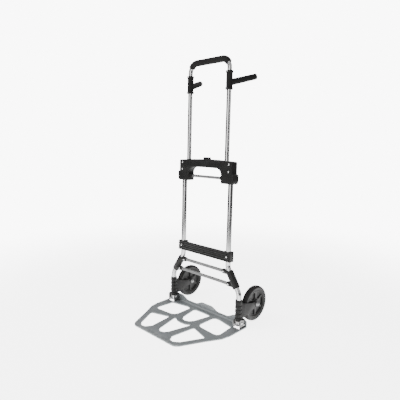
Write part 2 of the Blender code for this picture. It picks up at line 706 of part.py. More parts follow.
# ---- side brackets and crossbars -------------------------------------------------------------------
def slant(side):
    """Top corner and direction of a lower tube's slanted part."""
    top = Vector((side * LOWER_X, 0, BEND_TOP_H))
    return top, (Vector((side * FOOT_X, 0, BEND_LOW_H)) - top).normalized()


def sleeve_span():
    """Where a side bracket's sleeve starts and ends along the slant, clear of both bends."""
    top, along = slant(1)
    length = (Vector((FOOT_X, 0, BEND_LOW_H)) - top).length
    bend = BEND_R * math.tan(along.angle(Vector((0, 0, -1))) / 2)
    return bend + SLEEVE_CLEAR[0], length - bend - SLEEVE_CLEAR[1]


def bar_outline(height, grow=0.0):
    half_t, half_h = BAR_HALF_T + grow, BAR_HALF_H + grow
    corners = [(BAR_DEPTH_Y - half_t, height - half_h), (BAR_DEPTH_Y + half_t, height - half_h),
               (BAR_DEPTH_Y + half_t, height + half_h), (BAR_DEPTH_Y - half_t, height + half_h)]
    return rounded(corners, 0.004, 2)


def bar_rivet_x(socket_x):
    return socket_x + BAR_INSERT / 2


def side_bracket(frame, side):
    top, along = slant(side)
    start, end = sleeve_span()
    sleeve = lathe([(0, start), (SLEEVE_R - 0.002, start), (SLEEVE_R, start + 0.004),
                    (SLEEVE_R, end - 0.004), (SLEEVE_R - 0.002, end), (0, end)], BORE_SIDES, closed=False)
    bracket = place(f"side_bracket_{side_name(side)}", turned(sleeve, along, top), "black_plastic", frame)
    for socket_x, height in ((UPPER_SOCKET_X, UPPER_BAR_H), (LOWER_SOCKET_X, LOWER_BAR_H)):
        tube_x = LOWER_X + (BEND_TOP_H - height) * (FOOT_X - LOWER_X) / (BEND_TOP_H - BEND_LOW_H)
        socket = lathe([(0, socket_x), (BAR_SOCKET_R - 0.0015, socket_x), (BAR_SOCKET_R, socket_x + 0.004),
                        (BAR_SOCKET_R, tube_x), (0, tube_x)], 12, closed=False)
        add(bracket, turned(socket, (side, 0, 0), (0, BAR_DEPTH_Y, height)))
    cut(bracket, sweep(lower_path(side), LOWER_R + GAP, TUBE_SIDES))
    for socket_x, height in ((UPPER_SOCKET_X, UPPER_BAR_H), (LOWER_SOCKET_X, LOWER_BAR_H)):
        ends = sorted((side * (socket_x - OVER), side * (socket_x + BAR_INSERT + GAP)))
        cut(bracket, prism(bar_outline(height, GAP), *ends, "x"))
        hole = rod(RIVET_R + GAP, -BAR_SOCKET_R - OVER, BAR_SOCKET_R + OVER, 8)
        cut(bracket, turned(hole, "y", (side * bar_rivet_x(socket_x), 0, height)))


def crossbar(frame, name, socket_x, height):
    end = socket_x + BAR_INSERT
    outer = bar_outline(height)
    inner = bar_outline(height, -BAR_WALL)
    bar = place(name, pipe_prism(outer, inner, -end, end, "x"), "bar_grey", frame)
    for side in (-1, 1):
        hole = rod(RIVET_R + GAP, -BAR_SOCKET_R - OVER, BAR_SOCKET_R + OVER, 8)
        cut(bar, turned(hole, "y", (side * bar_rivet_x(socket_x), 0, height)))


def crossbar_rivets(frame, side):
    for level, socket_x, height in (("upper", UPPER_SOCKET_X, UPPER_BAR_H),
                                    ("lower", LOWER_SOCKET_X, LOWER_BAR_H)):
        at = (side * bar_rivet_x(socket_x), BAR_DEPTH_Y, height)
        rivet = bolt("y", at, (-BAR_SOCKET_R, BAR_SOCKET_R), 0.002, RIVET_R, RIVET_HEAD_R)
        place(f"crossbar_rivet_{level}_{side_name(side)}", rivet, "fastener", frame)


# ---- wheel forks -----------------------------------------------------------------------------------
def axle_place():
    """Axle's depth and height in the leaning frame. The wheel stands on the floor."""
    return to_frame(WHEEL_BACK, WHEEL_R)


def fork_sleeve_profile():
    """Grooved sleeve that turns on the tube's foot."""
    pitch = (FORK_HIGH_H - FORK_LOW_H) / (FORK_GROOVES + 1)
    outer = [(FORK_R, FORK_LOW_H)]
    for i in range(1, FORK_GROOVES + 1):
        middle = FORK_LOW_H + i * pitch
        outer += [(FORK_R, middle - 0.004), (FORK_R - 0.002, middle), (FORK_R, middle + 0.004)]
    outer.append((FORK_R, FORK_HIGH_H))
    return [(0, FORK_LOW_H)] + outer + [(0, FORK_HIGH_H)]


def arm_outline():
    """Side view of a fork arm, as points of depth and height."""
    axle_y, axle_h = axle_place()
    eye = CAP_R + 0.0015
    round_end = arc((axle_y, axle_h), (eye, eye), 80, -80, 8)
    return [(ARM_ROOT_Y, ARM_ROOT_HIGH_H), (0.030, ARM_ROOT_HIGH_H - 0.006),
            (0.080, axle_h + eye + 0.003)] + round_end + [(0.081, ARM_ROOT_LOW_H + 0.021),
            (0.030, ARM_ROOT_LOW_H + 0.004), (ARM_ROOT_Y, ARM_ROOT_LOW_H)]


def fork_plan():
    """Plan of the two arms and the web in front of the tread."""
    far = axle_place()[0] + CAP_R + OVER
    flare = 0.0215
    web_back = axle_place()[0] - WHEEL_R - 0.0035
    return [(-FORK_R + 0.002, ARM_ROOT_Y), (-ARM_OUT, flare), (-ARM_OUT, far), (-ARM_IN, far),
            (-ARM_IN, web_back + 0.006), (-ARM_IN + 0.005, web_back), (ARM_IN - 0.005, web_back),
            (ARM_IN, web_back + 0.006), (ARM_IN, far), (ARM_OUT, far), (ARM_OUT, flare),
            (FORK_R - 0.002, ARM_ROOT_Y)]


def wheel_fork(frame, side):
    axle_y, axle_h = axle_place()
    at = (side * FOOT_X, 0, 0)
    plan = prism(fork_plan(), ARM_ROOT_LOW_H - OVER, ARM_ROOT_HIGH_H + OVER, "z")
    fork = place(f"wheel_fork_{side_name(side)}", turned(plan, "z", at), "black_plastic", frame, at)
    sides = prism(arm_outline(), -2 * ARM_OUT, 2 * ARM_OUT, "x")
    combine(fork, turned(sides, "z", at), "INTERSECT")
    add(fork, turned(lathe(fork_sleeve_profile(), FORK_SIDES, closed=False), "z", at))
    cut(fork, turned(rod(LOWER_R + RUN, FORK_LOW_H - OVER, FORK_HIGH_H + OVER, FORK_SIDES), "z", at))
    hole = rod(AXLE_R + GAP, -2 * ARM_OUT, 2 * ARM_OUT, 12)
    cut(fork, turned(hole, "x", (side * FOOT_X, axle_y, axle_h)))


def fork_collar(frame, side):
    collar = ring(LOWER_R + GAP, COLLAR_R, FORK_HIGH_H + RUN, FORK_HIGH_H + RUN + COLLAR_T)
    place(f"fork_collar_{side_name(side)}", turned(collar, "z", (side * FOOT_X, 0, 0)),
          "black_plastic", frame)


def thrust_washer(frame, side):
    low = PIVOT_H + PIVOT_R + GAP
    washer = ring(LOWER_R + GAP, COLLAR_R - 0.001, low, FORK_LOW_H - RUN)
    place(f"thrust_washer_{side_name(side)}", turned(washer, "z", (side * FOOT_X, 0, 0)),
          "bush_nylon", frame)


# ---- wheels ----------------------------------------------------------------------------------------
def tyre_profile():
    half = [(WHEEL_R, 0.0), (WHEEL_R - 0.0008, 0.5 * TYRE_HALF_W), (WHEEL_R - 0.004, 0.85 * TYRE_HALF_W),
            (WHEEL_R - 0.009, TYRE_HALF_W), (RIM_R + 0.004, 0.97 * TYRE_HALF_W),
            (RIM_R + GAP, RIM_HALF_W)]
    return [(r, -z) for r, z in reversed(half)] + half[1:]


def hub_profile():
    face = ARM_IN - RUN - 0.001
    half = [(RIM_R, RIM_HALF_W), (RIM_R - RIM_LIP + 0.002, RIM_HALF_W), (RIM_R - RIM_LIP, HUB_WEB),
            (HUB_BOSS_R + BOSS_FOOT, HUB_WEB), (HUB_BOSS_R, face), (HUB_BORE_R, face)]
    return half + [(r, -z) for r, z in reversed(half)]


def wheel(frame, side):
    name = side_name(side)
    axle_y, axle_h = axle_place()
    at = (side * FOOT_X, axle_y, axle_h)
    tyre = turned(lathe(tyre_profile(), WHEEL_SIDES), "x", at)
    place(f"tyre_{name}", tyre, "tyre_rubber", frame, at)
    hub = turned(lathe(hub_profile(), WHEEL_SIDES), "x", at)
    place(f"wheel_hub_{name}", hub, "black_plastic", frame, at)


def wheel_bush(frame, side):
    axle_y, axle_h = axle_place()
    at = (side * FOOT_X, axle_y, axle_h)
    reach = ARM_IN - RUN
    bush = ring(AXLE_R + RUN, HUB_BORE_R - GAP, -reach, reach, 16)
    place(f"wheel_bush_{side_name(side)}", turned(bush, "x", at), "bush_nylon", frame, at)


def cap_profile():
    """Domed outside of an axle's cap, from its rim to its middle, as points of radius and distance."""
    return [(CAP_R, ARM_OUT + GAP), (CAP_R, ARM_OUT + 0.0035), (CAP_R - 0.002, CAP_OUT - 0.003),
            (CAP_R - 0.006, CAP_OUT), (0, CAP_OUT)]


def axle(frame, side):
    """Axle with its head outboard, and the cap pressed on its inboard end."""
    axle_y, axle_h = axle_place()
    at = (side * FOOT_X, axle_y, axle_h)
    end = CAP_OUT - 0.004
    shaft = [(0, -end), (AXLE_R, -end), (AXLE_R, ARM_OUT + GAP)] + cap_profile()
    place(f"axle_{side_name(side)}", turned(lathe(shaft, 16, closed=False), (side, 0, 0), at),
          "fastener", frame, at)
    cap = [(0, end + GAP), (AXLE_R + GAP, end + GAP), (AXLE_R + GAP, ARM_OUT + GAP)] + cap_profile()
    place(f"axle_cap_{side_name(side)}", turned(lathe(cap, 16, closed=False), (-side, 0, 0), at),
          "fastener", frame, at)


# ---- toe plate -------------------------------------------------------------------------------------
def plate_outline():
    """Half outline from the rear middle to the front middle."""
    back = pivot_place()[1] + WALL_BACK
    corner = arc((0.128, -PLATE_FRONT + 0.042), (0.042, 0.042), -25, -90, 5)
    return [(0.0, back), (PLATE_HALF_W - 0.004, back), (PLATE_HALF_W, back - 0.004),
            (PLATE_HALF_W, -0.090), (0.258, -0.140), (0.214, -0.220)] + corner + [(0.0, -PLATE_FRONT)]


def plate_openings():
    """The six openings: a rear and a front one on each side, and two on the middle line."""
    rear = [(0.213, -0.026), (0.116, -0.006), (0.095, -0.008), (0.085, -0.020), (0.084, -0.105),
            (0.093, -0.123), (0.112, -0.130), (0.200, -0.137), (0.219, -0.132), (0.224, -0.116)]
    front = [(0.088, -0.157), (0.188, -0.188), (0.194, -0.197), (0.142, -0.298), (0.116, -0.317),
             (0.092, -0.314), (0.073, -0.285)]
    rear_middle = [(0.0, -0.004), (0.050, -0.006), (0.057, -0.016), (0.038, -0.106), (0.022, -0.128),
                   (0.0, -0.134)]
    front_middle = [(0.0, -0.163), (0.030, -0.160), (0.050, -0.147), (0.060, -0.150), (0.030, -0.270),
                    (0.018, -0.287), (0.0, -0.293)]
    whole = [rounded(mirrored(outline), 0.010, 2) for outline in (rear_middle, front_middle)]
    for outline in (rear, front):
        for side in (-1, 1):
            whole.append(rounded([(side * x, y) for x, y in outline], 0.010, 2))
    return whole


def pivot_place():
    """Depth and height of the toe plate's pivot, from the tubes' feet."""
    return (0.0, PIVOT_H * math.sin(LEAN), PIVOT_H * math.cos(LEAN))


def wall_profile():
    """Rear wall: high beside the ears and in the middle, low where the folded wheels stand."""
    half = [(0.0, 0.041), (0.030, 0.041), (0.048, 0.037), (0.070, 0.026), (0.085, 0.0225), (0.135, 0.0225),
            (0.152, 0.025), (0.180, 0.038), (0.198, 0.043), (0.252, 0.043), (0.261, 0.040),
            (PLATE_HALF_W, 0.032), (PLATE_HALF_W, WALL_FOOT), (0.0, WALL_FOOT)]
    return mirrored(half)


def toe_plate(feet):
    pivot = pivot_place()
    back = pivot[1] + WALL_BACK
    plate = place("toe_plate", prism(mirrored(plate_outline()), 0, PLATE_T, "z"), "plate_alloy", feet, pivot)
    openings = plate_openings()
    hollow = place("toe_plate_hollow", prism(offset(mirrored(plate_outline()), PLATE_RIM), -OVER,
                   PLATE_T - PLATE_SKIN, "z"), None, feet, pivot)
    hollow.display_type = "WIRE"
    hollow.hide_render = True
    for outline in openings:
        cut(hollow, prism(offset(outline, -PLATE_RIM), -2 * OVER, PLATE_T, "z"))
    step = plate.modifiers.new("hollow", "BOOLEAN")
    step.operation = "DIFFERENCE"
    step.object = hollow
    for outline in openings:
        cut(plate, prism(outline, -2 * OVER, 2 * OVER, "z"))
    add(plate, prism(wall_profile(), back - WALL_T, back, "y"))
    for side in (-1, 1):
        pocket_x = sorted((side * (EAR_IN_X + EAR_T), side * EAR_OUT_X))
        cut(plate, box(pocket_x, (-0.017, back - WALL_T), (-OVER, 2 * OVER)))


def ear_outline(top_front, top_back):
    """Side view of an ear, as points of depth and height from the tubes' feet."""
    back = pivot_place()[1] + WALL_BACK - WALL_T - GAP
    low = PLATE_T + GAP
    return [(-0.014, low), (back, low), (back, top_back), (back - 0.010, top_back + 0.001),
            (-0.006, top_front), (-0.012, top_front - 0.003), (-0.014, top_front - 0.008)]


def hinge_bracket(feet, side):
    """Two ears joined by a strap along the rear wall."""
    pivot = pivot_place()
    back = pivot[1] + WALL_BACK - WALL_T - GAP
    outer_x = sorted((side * EAR_OUT_X, side * (EAR_OUT_X + EAR_T)))
    inner_x = sorted((side * EAR_IN_X, side * (EAR_IN_X + EAR_T)))
    bracket = place(f"hinge_bracket_{side_name(side)}", prism(ear_outline(0.048, 0.038), *outer_x, "x"),
                    "bracket_steel", feet, pivot)
    add(bracket, prism(ear_outline(0.040, 0.036), *inner_x, "x"))
    strap_x = sorted((side * (EAR_IN_X + EAR_T / 2), side * (EAR_OUT_X + EAR_T / 2)))
    add(bracket, box(strap_x, (back - 0.0025, back), (PLATE_T + GAP, 0.034)))
    hole = rod(PIVOT_R + RUN, EAR_IN_X - OVER, EAR_OUT_X + EAR_T + OVER, 14)
    cut(bracket, turned(hole, (side, 0, 0), pivot))
    hole = rod(RIVET_R + GAP, EAR_OUT_X - OVER / 2, EAR_OUT_X + EAR_T + OVER, 8)
    cut(bracket, turned(hole, (side, 0, 0), ear_rivet_place()))


def ear_rivet_place():
    return (0.0, 0.0165, 0.0165)


def ear_rivet(feet, side):
    rivet = bolt((side, 0, 0), ear_rivet_place(), (EAR_OUT_X, EAR_OUT_X + EAR_T), 0.0018, RIVET_R,
                 RIVET_HEAD_R)
    place(f"ear_rivet_{side_name(side)}", rivet, "fastener", feet, pivot_place())


# ---- the whole truck -------------------------------------------------------------------------------
def build():
    clear_scene()
    feet = bpy.data.objects.new("feet", None)
    feet.location.y = FEET_Y
    frame = bpy.data.objects.new("frame_lean", None)
    frame.parent = feet
    frame.rotation_euler.x = -LEAN
    for empty in (feet, frame):
        bpy.context.collection.objects.link(empty)
    handle_tube(frame)
    handle_grip(frame)
    crosshead_shell(frame, "crosshead_front_shell", -1)
    crosshead_shell(frame, "crosshead_rear_shell", 1)
    grip_bar(frame)
    release_button(frame)
    cross_panel(frame)
    crossbar(frame, "upper_crossbar", UPPER_SOCKET_X, UPPER_BAR_H)
    crossbar(frame, "lower_crossbar", LOWER_SOCKET_X, LOWER_BAR_H)
    toe_plate(feet)
    for side in (-1, 1):
        for make in (lower_tube, foot_plug, pivot_pin, side_grip, guide_bush, crosshead_bolts, lock_rod,
                     lock_spring, panel_clamp, panel_bolt, side_bracket, crossbar_rivets, wheel_fork,
                     fork_collar, thrust_washer, wheel, wheel_bush, axle):
            make(frame, side)
        hinge_bracket(feet, side)
        ear_rivet(feet, side)


build()
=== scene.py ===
# %% [markdown]
# # A folding hand truck
# The solids, joints and sizes come from the packed model. This script gives it its looks: smooth
# tubes, moulded plastic, a pressed plate with rolled rims, and a finish for every surface. Pieces are
# drawn in metres, in the model's own frame.
# %% Load the packed model
import json
from math import atan2, copysign, cos, degrees, pi, radians, sin, tan

import bmesh
import bpy
from mathutils import Matrix, Vector
from mathutils.geometry import tessellate_polygon


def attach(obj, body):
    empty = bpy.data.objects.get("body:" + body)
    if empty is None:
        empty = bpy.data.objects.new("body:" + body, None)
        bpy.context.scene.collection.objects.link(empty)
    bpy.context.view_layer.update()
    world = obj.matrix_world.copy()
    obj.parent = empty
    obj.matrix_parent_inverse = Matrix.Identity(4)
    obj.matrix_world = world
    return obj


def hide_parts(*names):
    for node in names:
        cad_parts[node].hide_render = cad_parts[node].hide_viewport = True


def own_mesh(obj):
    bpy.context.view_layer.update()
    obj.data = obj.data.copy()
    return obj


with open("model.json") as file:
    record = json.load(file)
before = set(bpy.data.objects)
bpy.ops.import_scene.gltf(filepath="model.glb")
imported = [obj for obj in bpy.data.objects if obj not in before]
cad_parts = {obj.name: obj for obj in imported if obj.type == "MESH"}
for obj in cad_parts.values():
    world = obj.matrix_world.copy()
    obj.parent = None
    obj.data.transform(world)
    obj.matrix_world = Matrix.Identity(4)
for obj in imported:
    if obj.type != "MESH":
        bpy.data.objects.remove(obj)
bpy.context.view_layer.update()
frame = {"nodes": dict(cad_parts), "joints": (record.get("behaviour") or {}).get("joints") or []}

# %% [markdown]
# The truck leans back a little. Its joints know by how much: the right wheel fork turns on the foot
# of its tube, so that joint's axis is the tubes' direction and its place is the tube's foot. With one
# matrix made from them, every frame piece can be drawn upright, as x, depth and height along a tube.
# %% The leaning frame
joints = {joint["name"]: joint for joint in frame["joints"]}
foot = Vector(joints["wheel_fork_right_turn"]["pos_m"])
up = Vector(joints["wheel_fork_right_turn"]["axis"])
FOOT_X = foot.x
FEET_Y = foot.y
LEAN = atan2(up.y, up.z)
UPRIGHT = Matrix.Translation((0, FEET_Y, 0)) @ Matrix.Rotation(-LEAN, 4, "X")
LEVEL = Matrix.Translation((0, FEET_Y, 0))
print("leans back", round(degrees(LEAN), 2), "degrees; feet at y =", FEET_Y)

# %% [markdown]
# ## The studio
# A pale floor and soft light. The camera stands in front of the truck and to its right, above its
# middle but below its handle, and looks slightly down.
# %% Camera
def placed(name, data):
    """An object in the scene that holds a mesh, a camera or a light."""
    thing = bpy.data.objects.new(name, data)
    bpy.context.scene.collection.objects.link(thing)
    return thing


camera = bpy.data.cameras.new("camera")
camera.sensor_width = 36.0
camera.lens = 35.513
camera_place = placed("camera", camera)
camera_place.location = (1.36706, -1.35774, 0.90999)
camera_place.rotation_euler = (radians(81.2), 0, radians(44.4))
bpy.context.scene.camera = camera_place
print("camera", tuple(round(value, 3) for value in camera_place.location))

# %% [markdown]
# ## Shader maths
# A finish is a graph of nodes. Written as Python it stays readable: a `Wire` is one output socket, and
# `+ - *` on wires add Math nodes. `Graph.node` adds any other node from its type, its settings and the
# values or wires of its sockets.
# %% Wires and graphs
class Wire:
    """An output socket that can be used in sums."""

    def __init__(self, graph, socket):
        self.graph = graph
        self.socket = socket

    def math(self, operation, first, second):
        return self.graph.node("ShaderNodeMath", {"operation": operation}, {0: first, 1: second})

    def __add__(self, other):
        return self.math("ADD", self, other)

    def __sub__(self, other):
        return self.math("SUBTRACT", self, other)

    def __rsub__(self, other):
        return self.math("SUBTRACT", other, self)

    def __mul__(self, other):
        return self.math("MULTIPLY", self, other)

    __radd__ = __add__
    __rmul__ = __mul__


class Graph:
    """The nodes of a material or a sky."""

    def __init__(self, tree):
        self.tree = tree

    def node(self, kind, settings=None, inputs=None, output=0):
        made = self.tree.nodes.new(kind)
        for key, value in (settings or {}).items():
            if key == "stops":
                while len(made.color_ramp.elements) < len(value):
                    made.color_ramp.elements.new(0.5)
                for stop, (place, colour) in zip(made.color_ramp.elements, value):
                    stop.position = place
                    stop.color = colour
            else:
                setattr(made, key, value)
        for key, value in (inputs or {}).items():
            self.feed(made.inputs[key], value)
        return Wire(self, made.outputs[output])

    def feed(self, socket, value):
        if isinstance(value, Wire):
            self.tree.links.new(value.socket, socket)
        else:
            socket.default_value = value


print("wires add", [name for name in vars(Wire) if name.startswith("__r")], "too")


# %% [markdown]
# A finish is one Principled shader. Its patterns start from the point on the surface, in metres, so
# they keep their scale on every piece and move with it.
# %% Finishes
class Finish(Graph):
    """A material with one Principled shader."""

    def __init__(self, name, metallic=0.0, specular=0.5):
        self.material = bpy.data.materials.new(name)
        self.material.use_nodes = True
        super().__init__(self.material.node_tree)
        self.shader = self.tree.nodes["Principled BSDF"]
        self.paint("Metallic", metallic)
        self.paint("Specular IOR Level", specular)

    def where(self):
        """The point on the surface, in metres, which moves with the piece."""
        return self.node("ShaderNodeTexCoord", output=3)

    def stretched(self, scale):
        """The point, scaled along each axis: a small scale draws a pattern out along it."""
        return self.node("ShaderNodeMapping", None, {"Vector": self.where(), "Scale": scale})

    def noise(self, scale, detail, vector=None):
        return self.node("ShaderNodeTexNoise", None, {"Vector": vector or self.where(), "Scale": scale,
                                                      "Detail": detail, "Roughness": 0.55})

    def spread(self, value, low, high, floor=0.0, ceiling=1.0):
        """The value's stretch from low to high, spread over floor to ceiling and held there."""
        return self.node("ShaderNodeMapRange", {"interpolation_type": "SMOOTHSTEP"},
                         {"Value": value, "From Min": low, "From Max": high, "To Min": floor,
                          "To Max": ceiling})

    def edge(self):
        """0 where the surface faces the viewer, 1 where it turns away."""
        return self.node("ShaderNodeLayerWeight", None, {"Blend": 0.5}, 1)

    def mix(self, share, first, second):
        """From the first colour to the second, by a share from 0 to 1."""
        return self.node("ShaderNodeMix", {"data_type": "RGBA"}, {0: share, 6: first, 7: second}, 2)

    def paint(self, socket, value):
        self.feed(self.shader.inputs[socket], value)

    def relief(self, height, distance, strength):
        """Bumps of about that height in metres."""
        self.paint("Normal", self.node("ShaderNodeBump", None, {"Height": height, "Distance": distance,
                                                                "Strength": strength}))


def grey(value, warm=0.0):
    """A linear grey, a little warmer or, below zero, cooler."""
    return (value * (1 + warm), value, value * (1 - warm), 1.0)


print("mid grey:", grey(0.18))

# %% [markdown]
# The floor is pale and plain. It glows a little and fades out a few metres away, so that no edge or
# horizon shows.
# %% Floor
FLOOR_GLOW = 4.2


def pale_floor():
    finish = Finish("pale floor", metallic=0.0, specular=0.2)
    finish.paint("Base Color", grey(0.9))
    finish.paint("Roughness", 0.55 + finish.noise(30.0, 4.0) * 0.08)
    finish.paint("Emission Color", grey(FLOOR_GLOW))
    finish.paint("Emission Strength", 1.0)
    reach = finish.node("ShaderNodeVectorMath", {"operation": "LENGTH"}, {0: finish.where()}, 1)
    finish.paint("Alpha", finish.spread(reach, 0.9, 2.6, 1.0, 0.0))
    return finish.material


def make_floor(size=3.0, low=-0.0002):
    corners = [(x * size, y * size, low) for x, y in ((-1, -1), (1, -1), (1, 1), (-1, 1))]
    mesh = bpy.data.meshes.new("floor")
    mesh.from_pydata(corners, [], [(0, 1, 2, 3)])
    mesh.materials.append(pale_floor())
    placed("floor", mesh)


make_floor()
print("floor glow", FLOOR_GLOW)


# %% [markdown]
# Polished tubes show what is around them. The sky is white where the camera sees it, but what the metal
# reflects is bright overhead and dark towards the horizon. A wide soft light in front puts the white
# stripe on the tubes; the others shape the rest and give soft shadows.
# %% Sky and lights
SKY_SEEN = 9.0


def make_sky():
    world = bpy.data.worlds.new("sky")
    world.use_nodes = True
    bpy.context.scene.world = world
    sky = Graph(world.node_tree)
    sky.tree.nodes.remove(sky.tree.nodes["Background"])
    height = sky.node("ShaderNodeSeparateXYZ", None, {0: sky.node("ShaderNodeTexCoord")}, 2)
    shades = ((0.0, 0.25), (0.4, 0.1), (0.52, 0.1), (0.66, 0.45), (0.85, 1.0), (1.0, 1.0))
    ramp = sky.node("ShaderNodeValToRGB", {"stops": [(place, grey(value)) for place, value in shades]},
                    {0: height * 0.5 + 0.5})
    glow = sky.node("ShaderNodeBackground", None, {"Color": ramp, "Strength": 1.2})
    seen = sky.node("ShaderNodeBackground", None, {"Color": grey(1.0), "Strength": SKY_SEEN})
    camera_ray = sky.node("ShaderNodeLightPath")
    both = sky.node("ShaderNodeMixShader", None, {0: camera_ray, 1: glow, 2: seen})
    sky.feed(sky.tree.nodes["World Output"].inputs["Surface"], both)


def make_light(name, place, power, width, height, target=(0, 0, 0.55)):
    light = bpy.data.lights.new(name, "AREA")
    light.energy = power
    light.shape = "RECTANGLE"
    light.size = width
    light.size_y = height
    thing = placed(name, light)
    thing.location = place
    thing.rotation_euler = (Vector(place) - Vector(target)).to_track_quat("Z", "Y").to_euler()
    thing.visible_camera = False


make_sky()
make_light("front", (0.95, -2.8, 1.2), 62, 1.5, 2.3, (0, 0, 0.75))
make_light("key", (-1.6, -1.7, 3.0), 85, 1.4, 1.4)
make_light("side", (2.9, 0.9, 1.6), 14, 0.4, 1.8)
make_light("back", (-0.6, 2.4, 3.2), 30, 2.4, 2.4)
print("sky", SKY_SEEN, "and four lights")

# %% [markdown]
# ## Finishes
# Polished tube: bright metal with faint drawing marks along it. The marks are noise drawn out along the
# tube, and they change the roughness a little and stand a few micrometres high. The colour has painted
# shade: it darkens where the surface turns away from the viewer, which outlines thin tubes.
# %% Polished tube, plated screws and zinc
def bright_metal(name, value, roughness, along, marks, warm=0.0, outline=0.6):
    finish = Finish(name, metallic=1.0)
    lines = finish.noise(1.0, 2.0, finish.stretched(along))
    smudges = finish.noise(9.0, 4.0)
    face = finish.mix(smudges, grey(value * 0.93, warm), grey(value * 1.04, warm))
    # Painted shade: the colour darkens on surfaces that turn away from the viewer, by the share outline.
    turned = finish.spread(finish.edge(), 0.12, 0.5, 0.0, outline)
    finish.paint("Base Color", finish.mix(turned, face, grey(value * 0.1, warm)))
    finish.paint("Roughness", finish.spread(smudges, 0.35, 0.75, roughness * 0.8, roughness * 1.5)
                 + lines * 0.06)
    finish.relief(lines, marks, 0.35)
    return finish.material


# The last value of each call sets how much painted shade darkens the edges that turn away.
tube_metal = bright_metal("polished tube", 0.42, 0.15, (1800, 1800, 14), 0.000003, 0.0, 1.0)
screw_metal = bright_metal("plated screw", 0.6, 0.2, (900, 900, 900), 0.000004)
zinc_metal = bright_metal("zinc steel", 0.17, 0.42, (260, 260, 260), 0.00001, 0.0, 0.3)
spring_metal = bright_metal("spring wire", 0.35, 0.3, (700, 700, 700), 0.000004)
print("bright metals:", tube_metal.name, screw_metal.name, zinc_metal.name, spring_metal.name)


# %% [markdown]
# The toe plate is aluminium sheet, pressed and then blasted to a matte blue-grey. A fine grain covers
# it, the sheen varies slowly, and the front lip, which slides under loads, is rubbed brighter.
# %% Blasted plate
def blasted_plate():
    finish = Finish("blasted plate", metallic=0.55)
    grain = finish.noise(1400.0, 2.0)
    clouds = finish.noise(14.0, 5.0)
    place = finish.node("ShaderNodeSeparateXYZ", None, {"Vector": finish.where()}, 1)
    front = finish.spread(place, -0.279, -0.235, 1.0, 0.0)
    rubbed = front * finish.spread(finish.noise(60.0, 5.0), 0.42, 0.62)
    scratches = finish.spread(finish.noise(1.0, 2.0, finish.stretched((900, 26, 900))), 0.62, 0.7)
    rubbed = rubbed * 0.5 + scratches * front * 0.5
    blue = finish.mix(clouds, (0.135, 0.148, 0.154, 1), (0.18, 0.193, 0.198, 1))
    finish.paint("Base Color", finish.mix(rubbed, blue, (0.33, 0.34, 0.34, 1)))
    finish.paint("Roughness", 0.5 + clouds * 0.12 - rubbed * 0.16)
    finish.relief(grain + rubbed * 0.2, 0.00005, 0.5)
    return finish.material


plate_alloy = blasted_plate()
print(plate_alloy.name)


# %% [markdown]
# Black moulded plastic has a fine spark-eroded grain, and picks up a little dust and paler rub marks.
# The wheel's rim is the same plastic from a smoother mould, so it is glossier.
# %% Moulded plastic
def moulded(name, value, roughness, grain_height, warm=0.0):
    finish = Finish(name, metallic=0.0, specular=0.12)
    grain = finish.noise(1700.0, 2.0)
    dust = finish.spread(finish.noise(24.0, 6.0), 0.45, 0.75)
    rub = finish.spread(finish.noise(1.0, 3.0, finish.stretched((90, 90, 420))), 0.6, 0.72)
    finish.paint("Base Color", finish.mix(dust * 0.5 + rub * 0.3, grey(value, warm),
                                          grey(value * 1.8 + 0.001, warm)))
    finish.paint("Roughness", roughness + dust * 0.1 - rub * 0.06)
    finish.relief(grain, grain_height, 0.6)
    return finish.material


black_plastic = moulded("black plastic", 0.007, 0.46, 0.00002, 0.02)
grip_plastic = moulded("grip plastic", 0.0065, 0.75, 0.00003, 0.02)
rim_plastic = moulded("rim plastic", 0.0042, 0.36, 0.00001)
nylon = moulded("nylon", 0.42, 0.45, 0.00002, 0.05)
print(black_plastic.name, grip_plastic.name, rim_plastic.name, nylon.name)


# %% [markdown]
# The grip is a closed-cell foam sleeve: small cells just under the skin, no gloss. The tyres are solid
# rubber: a dusty tread, a darker and smoother side wall. How far a point is from the axle tells the
# tread from the side.
# %% Foam and rubber
def foam():
    finish = Finish("foam", metallic=0.0, specular=0.1)
    cells = finish.node("ShaderNodeTexVoronoi", {"feature": "F1"},
                        {"Vector": finish.where(), "Scale": 900.0, "Randomness": 1.0})
    hands = finish.noise(30.0, 4.0)
    finish.paint("Base Color", finish.mix(hands, grey(0.0055, 0.03), grey(0.0105, 0.03)))
    finish.paint("Roughness", 0.72 + hands * 0.16)
    finish.relief(cells, 0.00016, 0.7)
    return finish.material


AXLE_Y = joints["wheel_right_spin"]["pos_m"][1]
AXLE_Z = joints["wheel_right_spin"]["pos_m"][2]


def tyre_rubber():
    finish = Finish("tyre rubber", metallic=0.0, specular=0.14)
    flat = finish.node("ShaderNodeVectorMath", {"operation": "MULTIPLY"},
                       {0: finish.where(), 1: (0, 1, 1)})
    reach = finish.node("ShaderNodeVectorMath", {"operation": "DISTANCE"},
                        {0: flat, 1: (0, AXLE_Y, AXLE_Z)}, 1)
    tread = finish.spread(reach, 0.084, 0.0875)
    dust = finish.spread(finish.noise(45.0, 6.0), 0.35, 0.7)
    finish.paint("Base Color", finish.mix(tread * (0.35 + dust * 0.65), grey(0.0055), grey(0.013, 0.05)))
    finish.paint("Roughness", 0.4 + tread * 0.3 + dust * 0.1)
    finish.relief(finish.noise(700.0, 3.0), 0.00008, 0.6)
    return finish.material


foam_skin = foam()
rubber = tyre_rubber()
print(foam_skin.name, rubber.name, "; axle at", AXLE_Y, AXLE_Z)


# %% [markdown]
# The crossbars and the crosshead's grip bar are steel, painted a satin grey. Paint pools slightly, so
# it has a faint orange peel.
# %% Satin grey paint
def satin_paint():
    finish = Finish("satin grey", metallic=0.45)
    clouds = finish.noise(40.0, 4.0)
    finish.paint("Base Color", finish.mix(clouds, grey(0.075), grey(0.105)))
    finish.paint("Roughness", 0.34 + clouds * 0.14)
    finish.relief(finish.noise(520.0, 1.5), 0.00004, 0.5)
    return finish.material


bar_paint = satin_paint()
print(bar_paint.name)

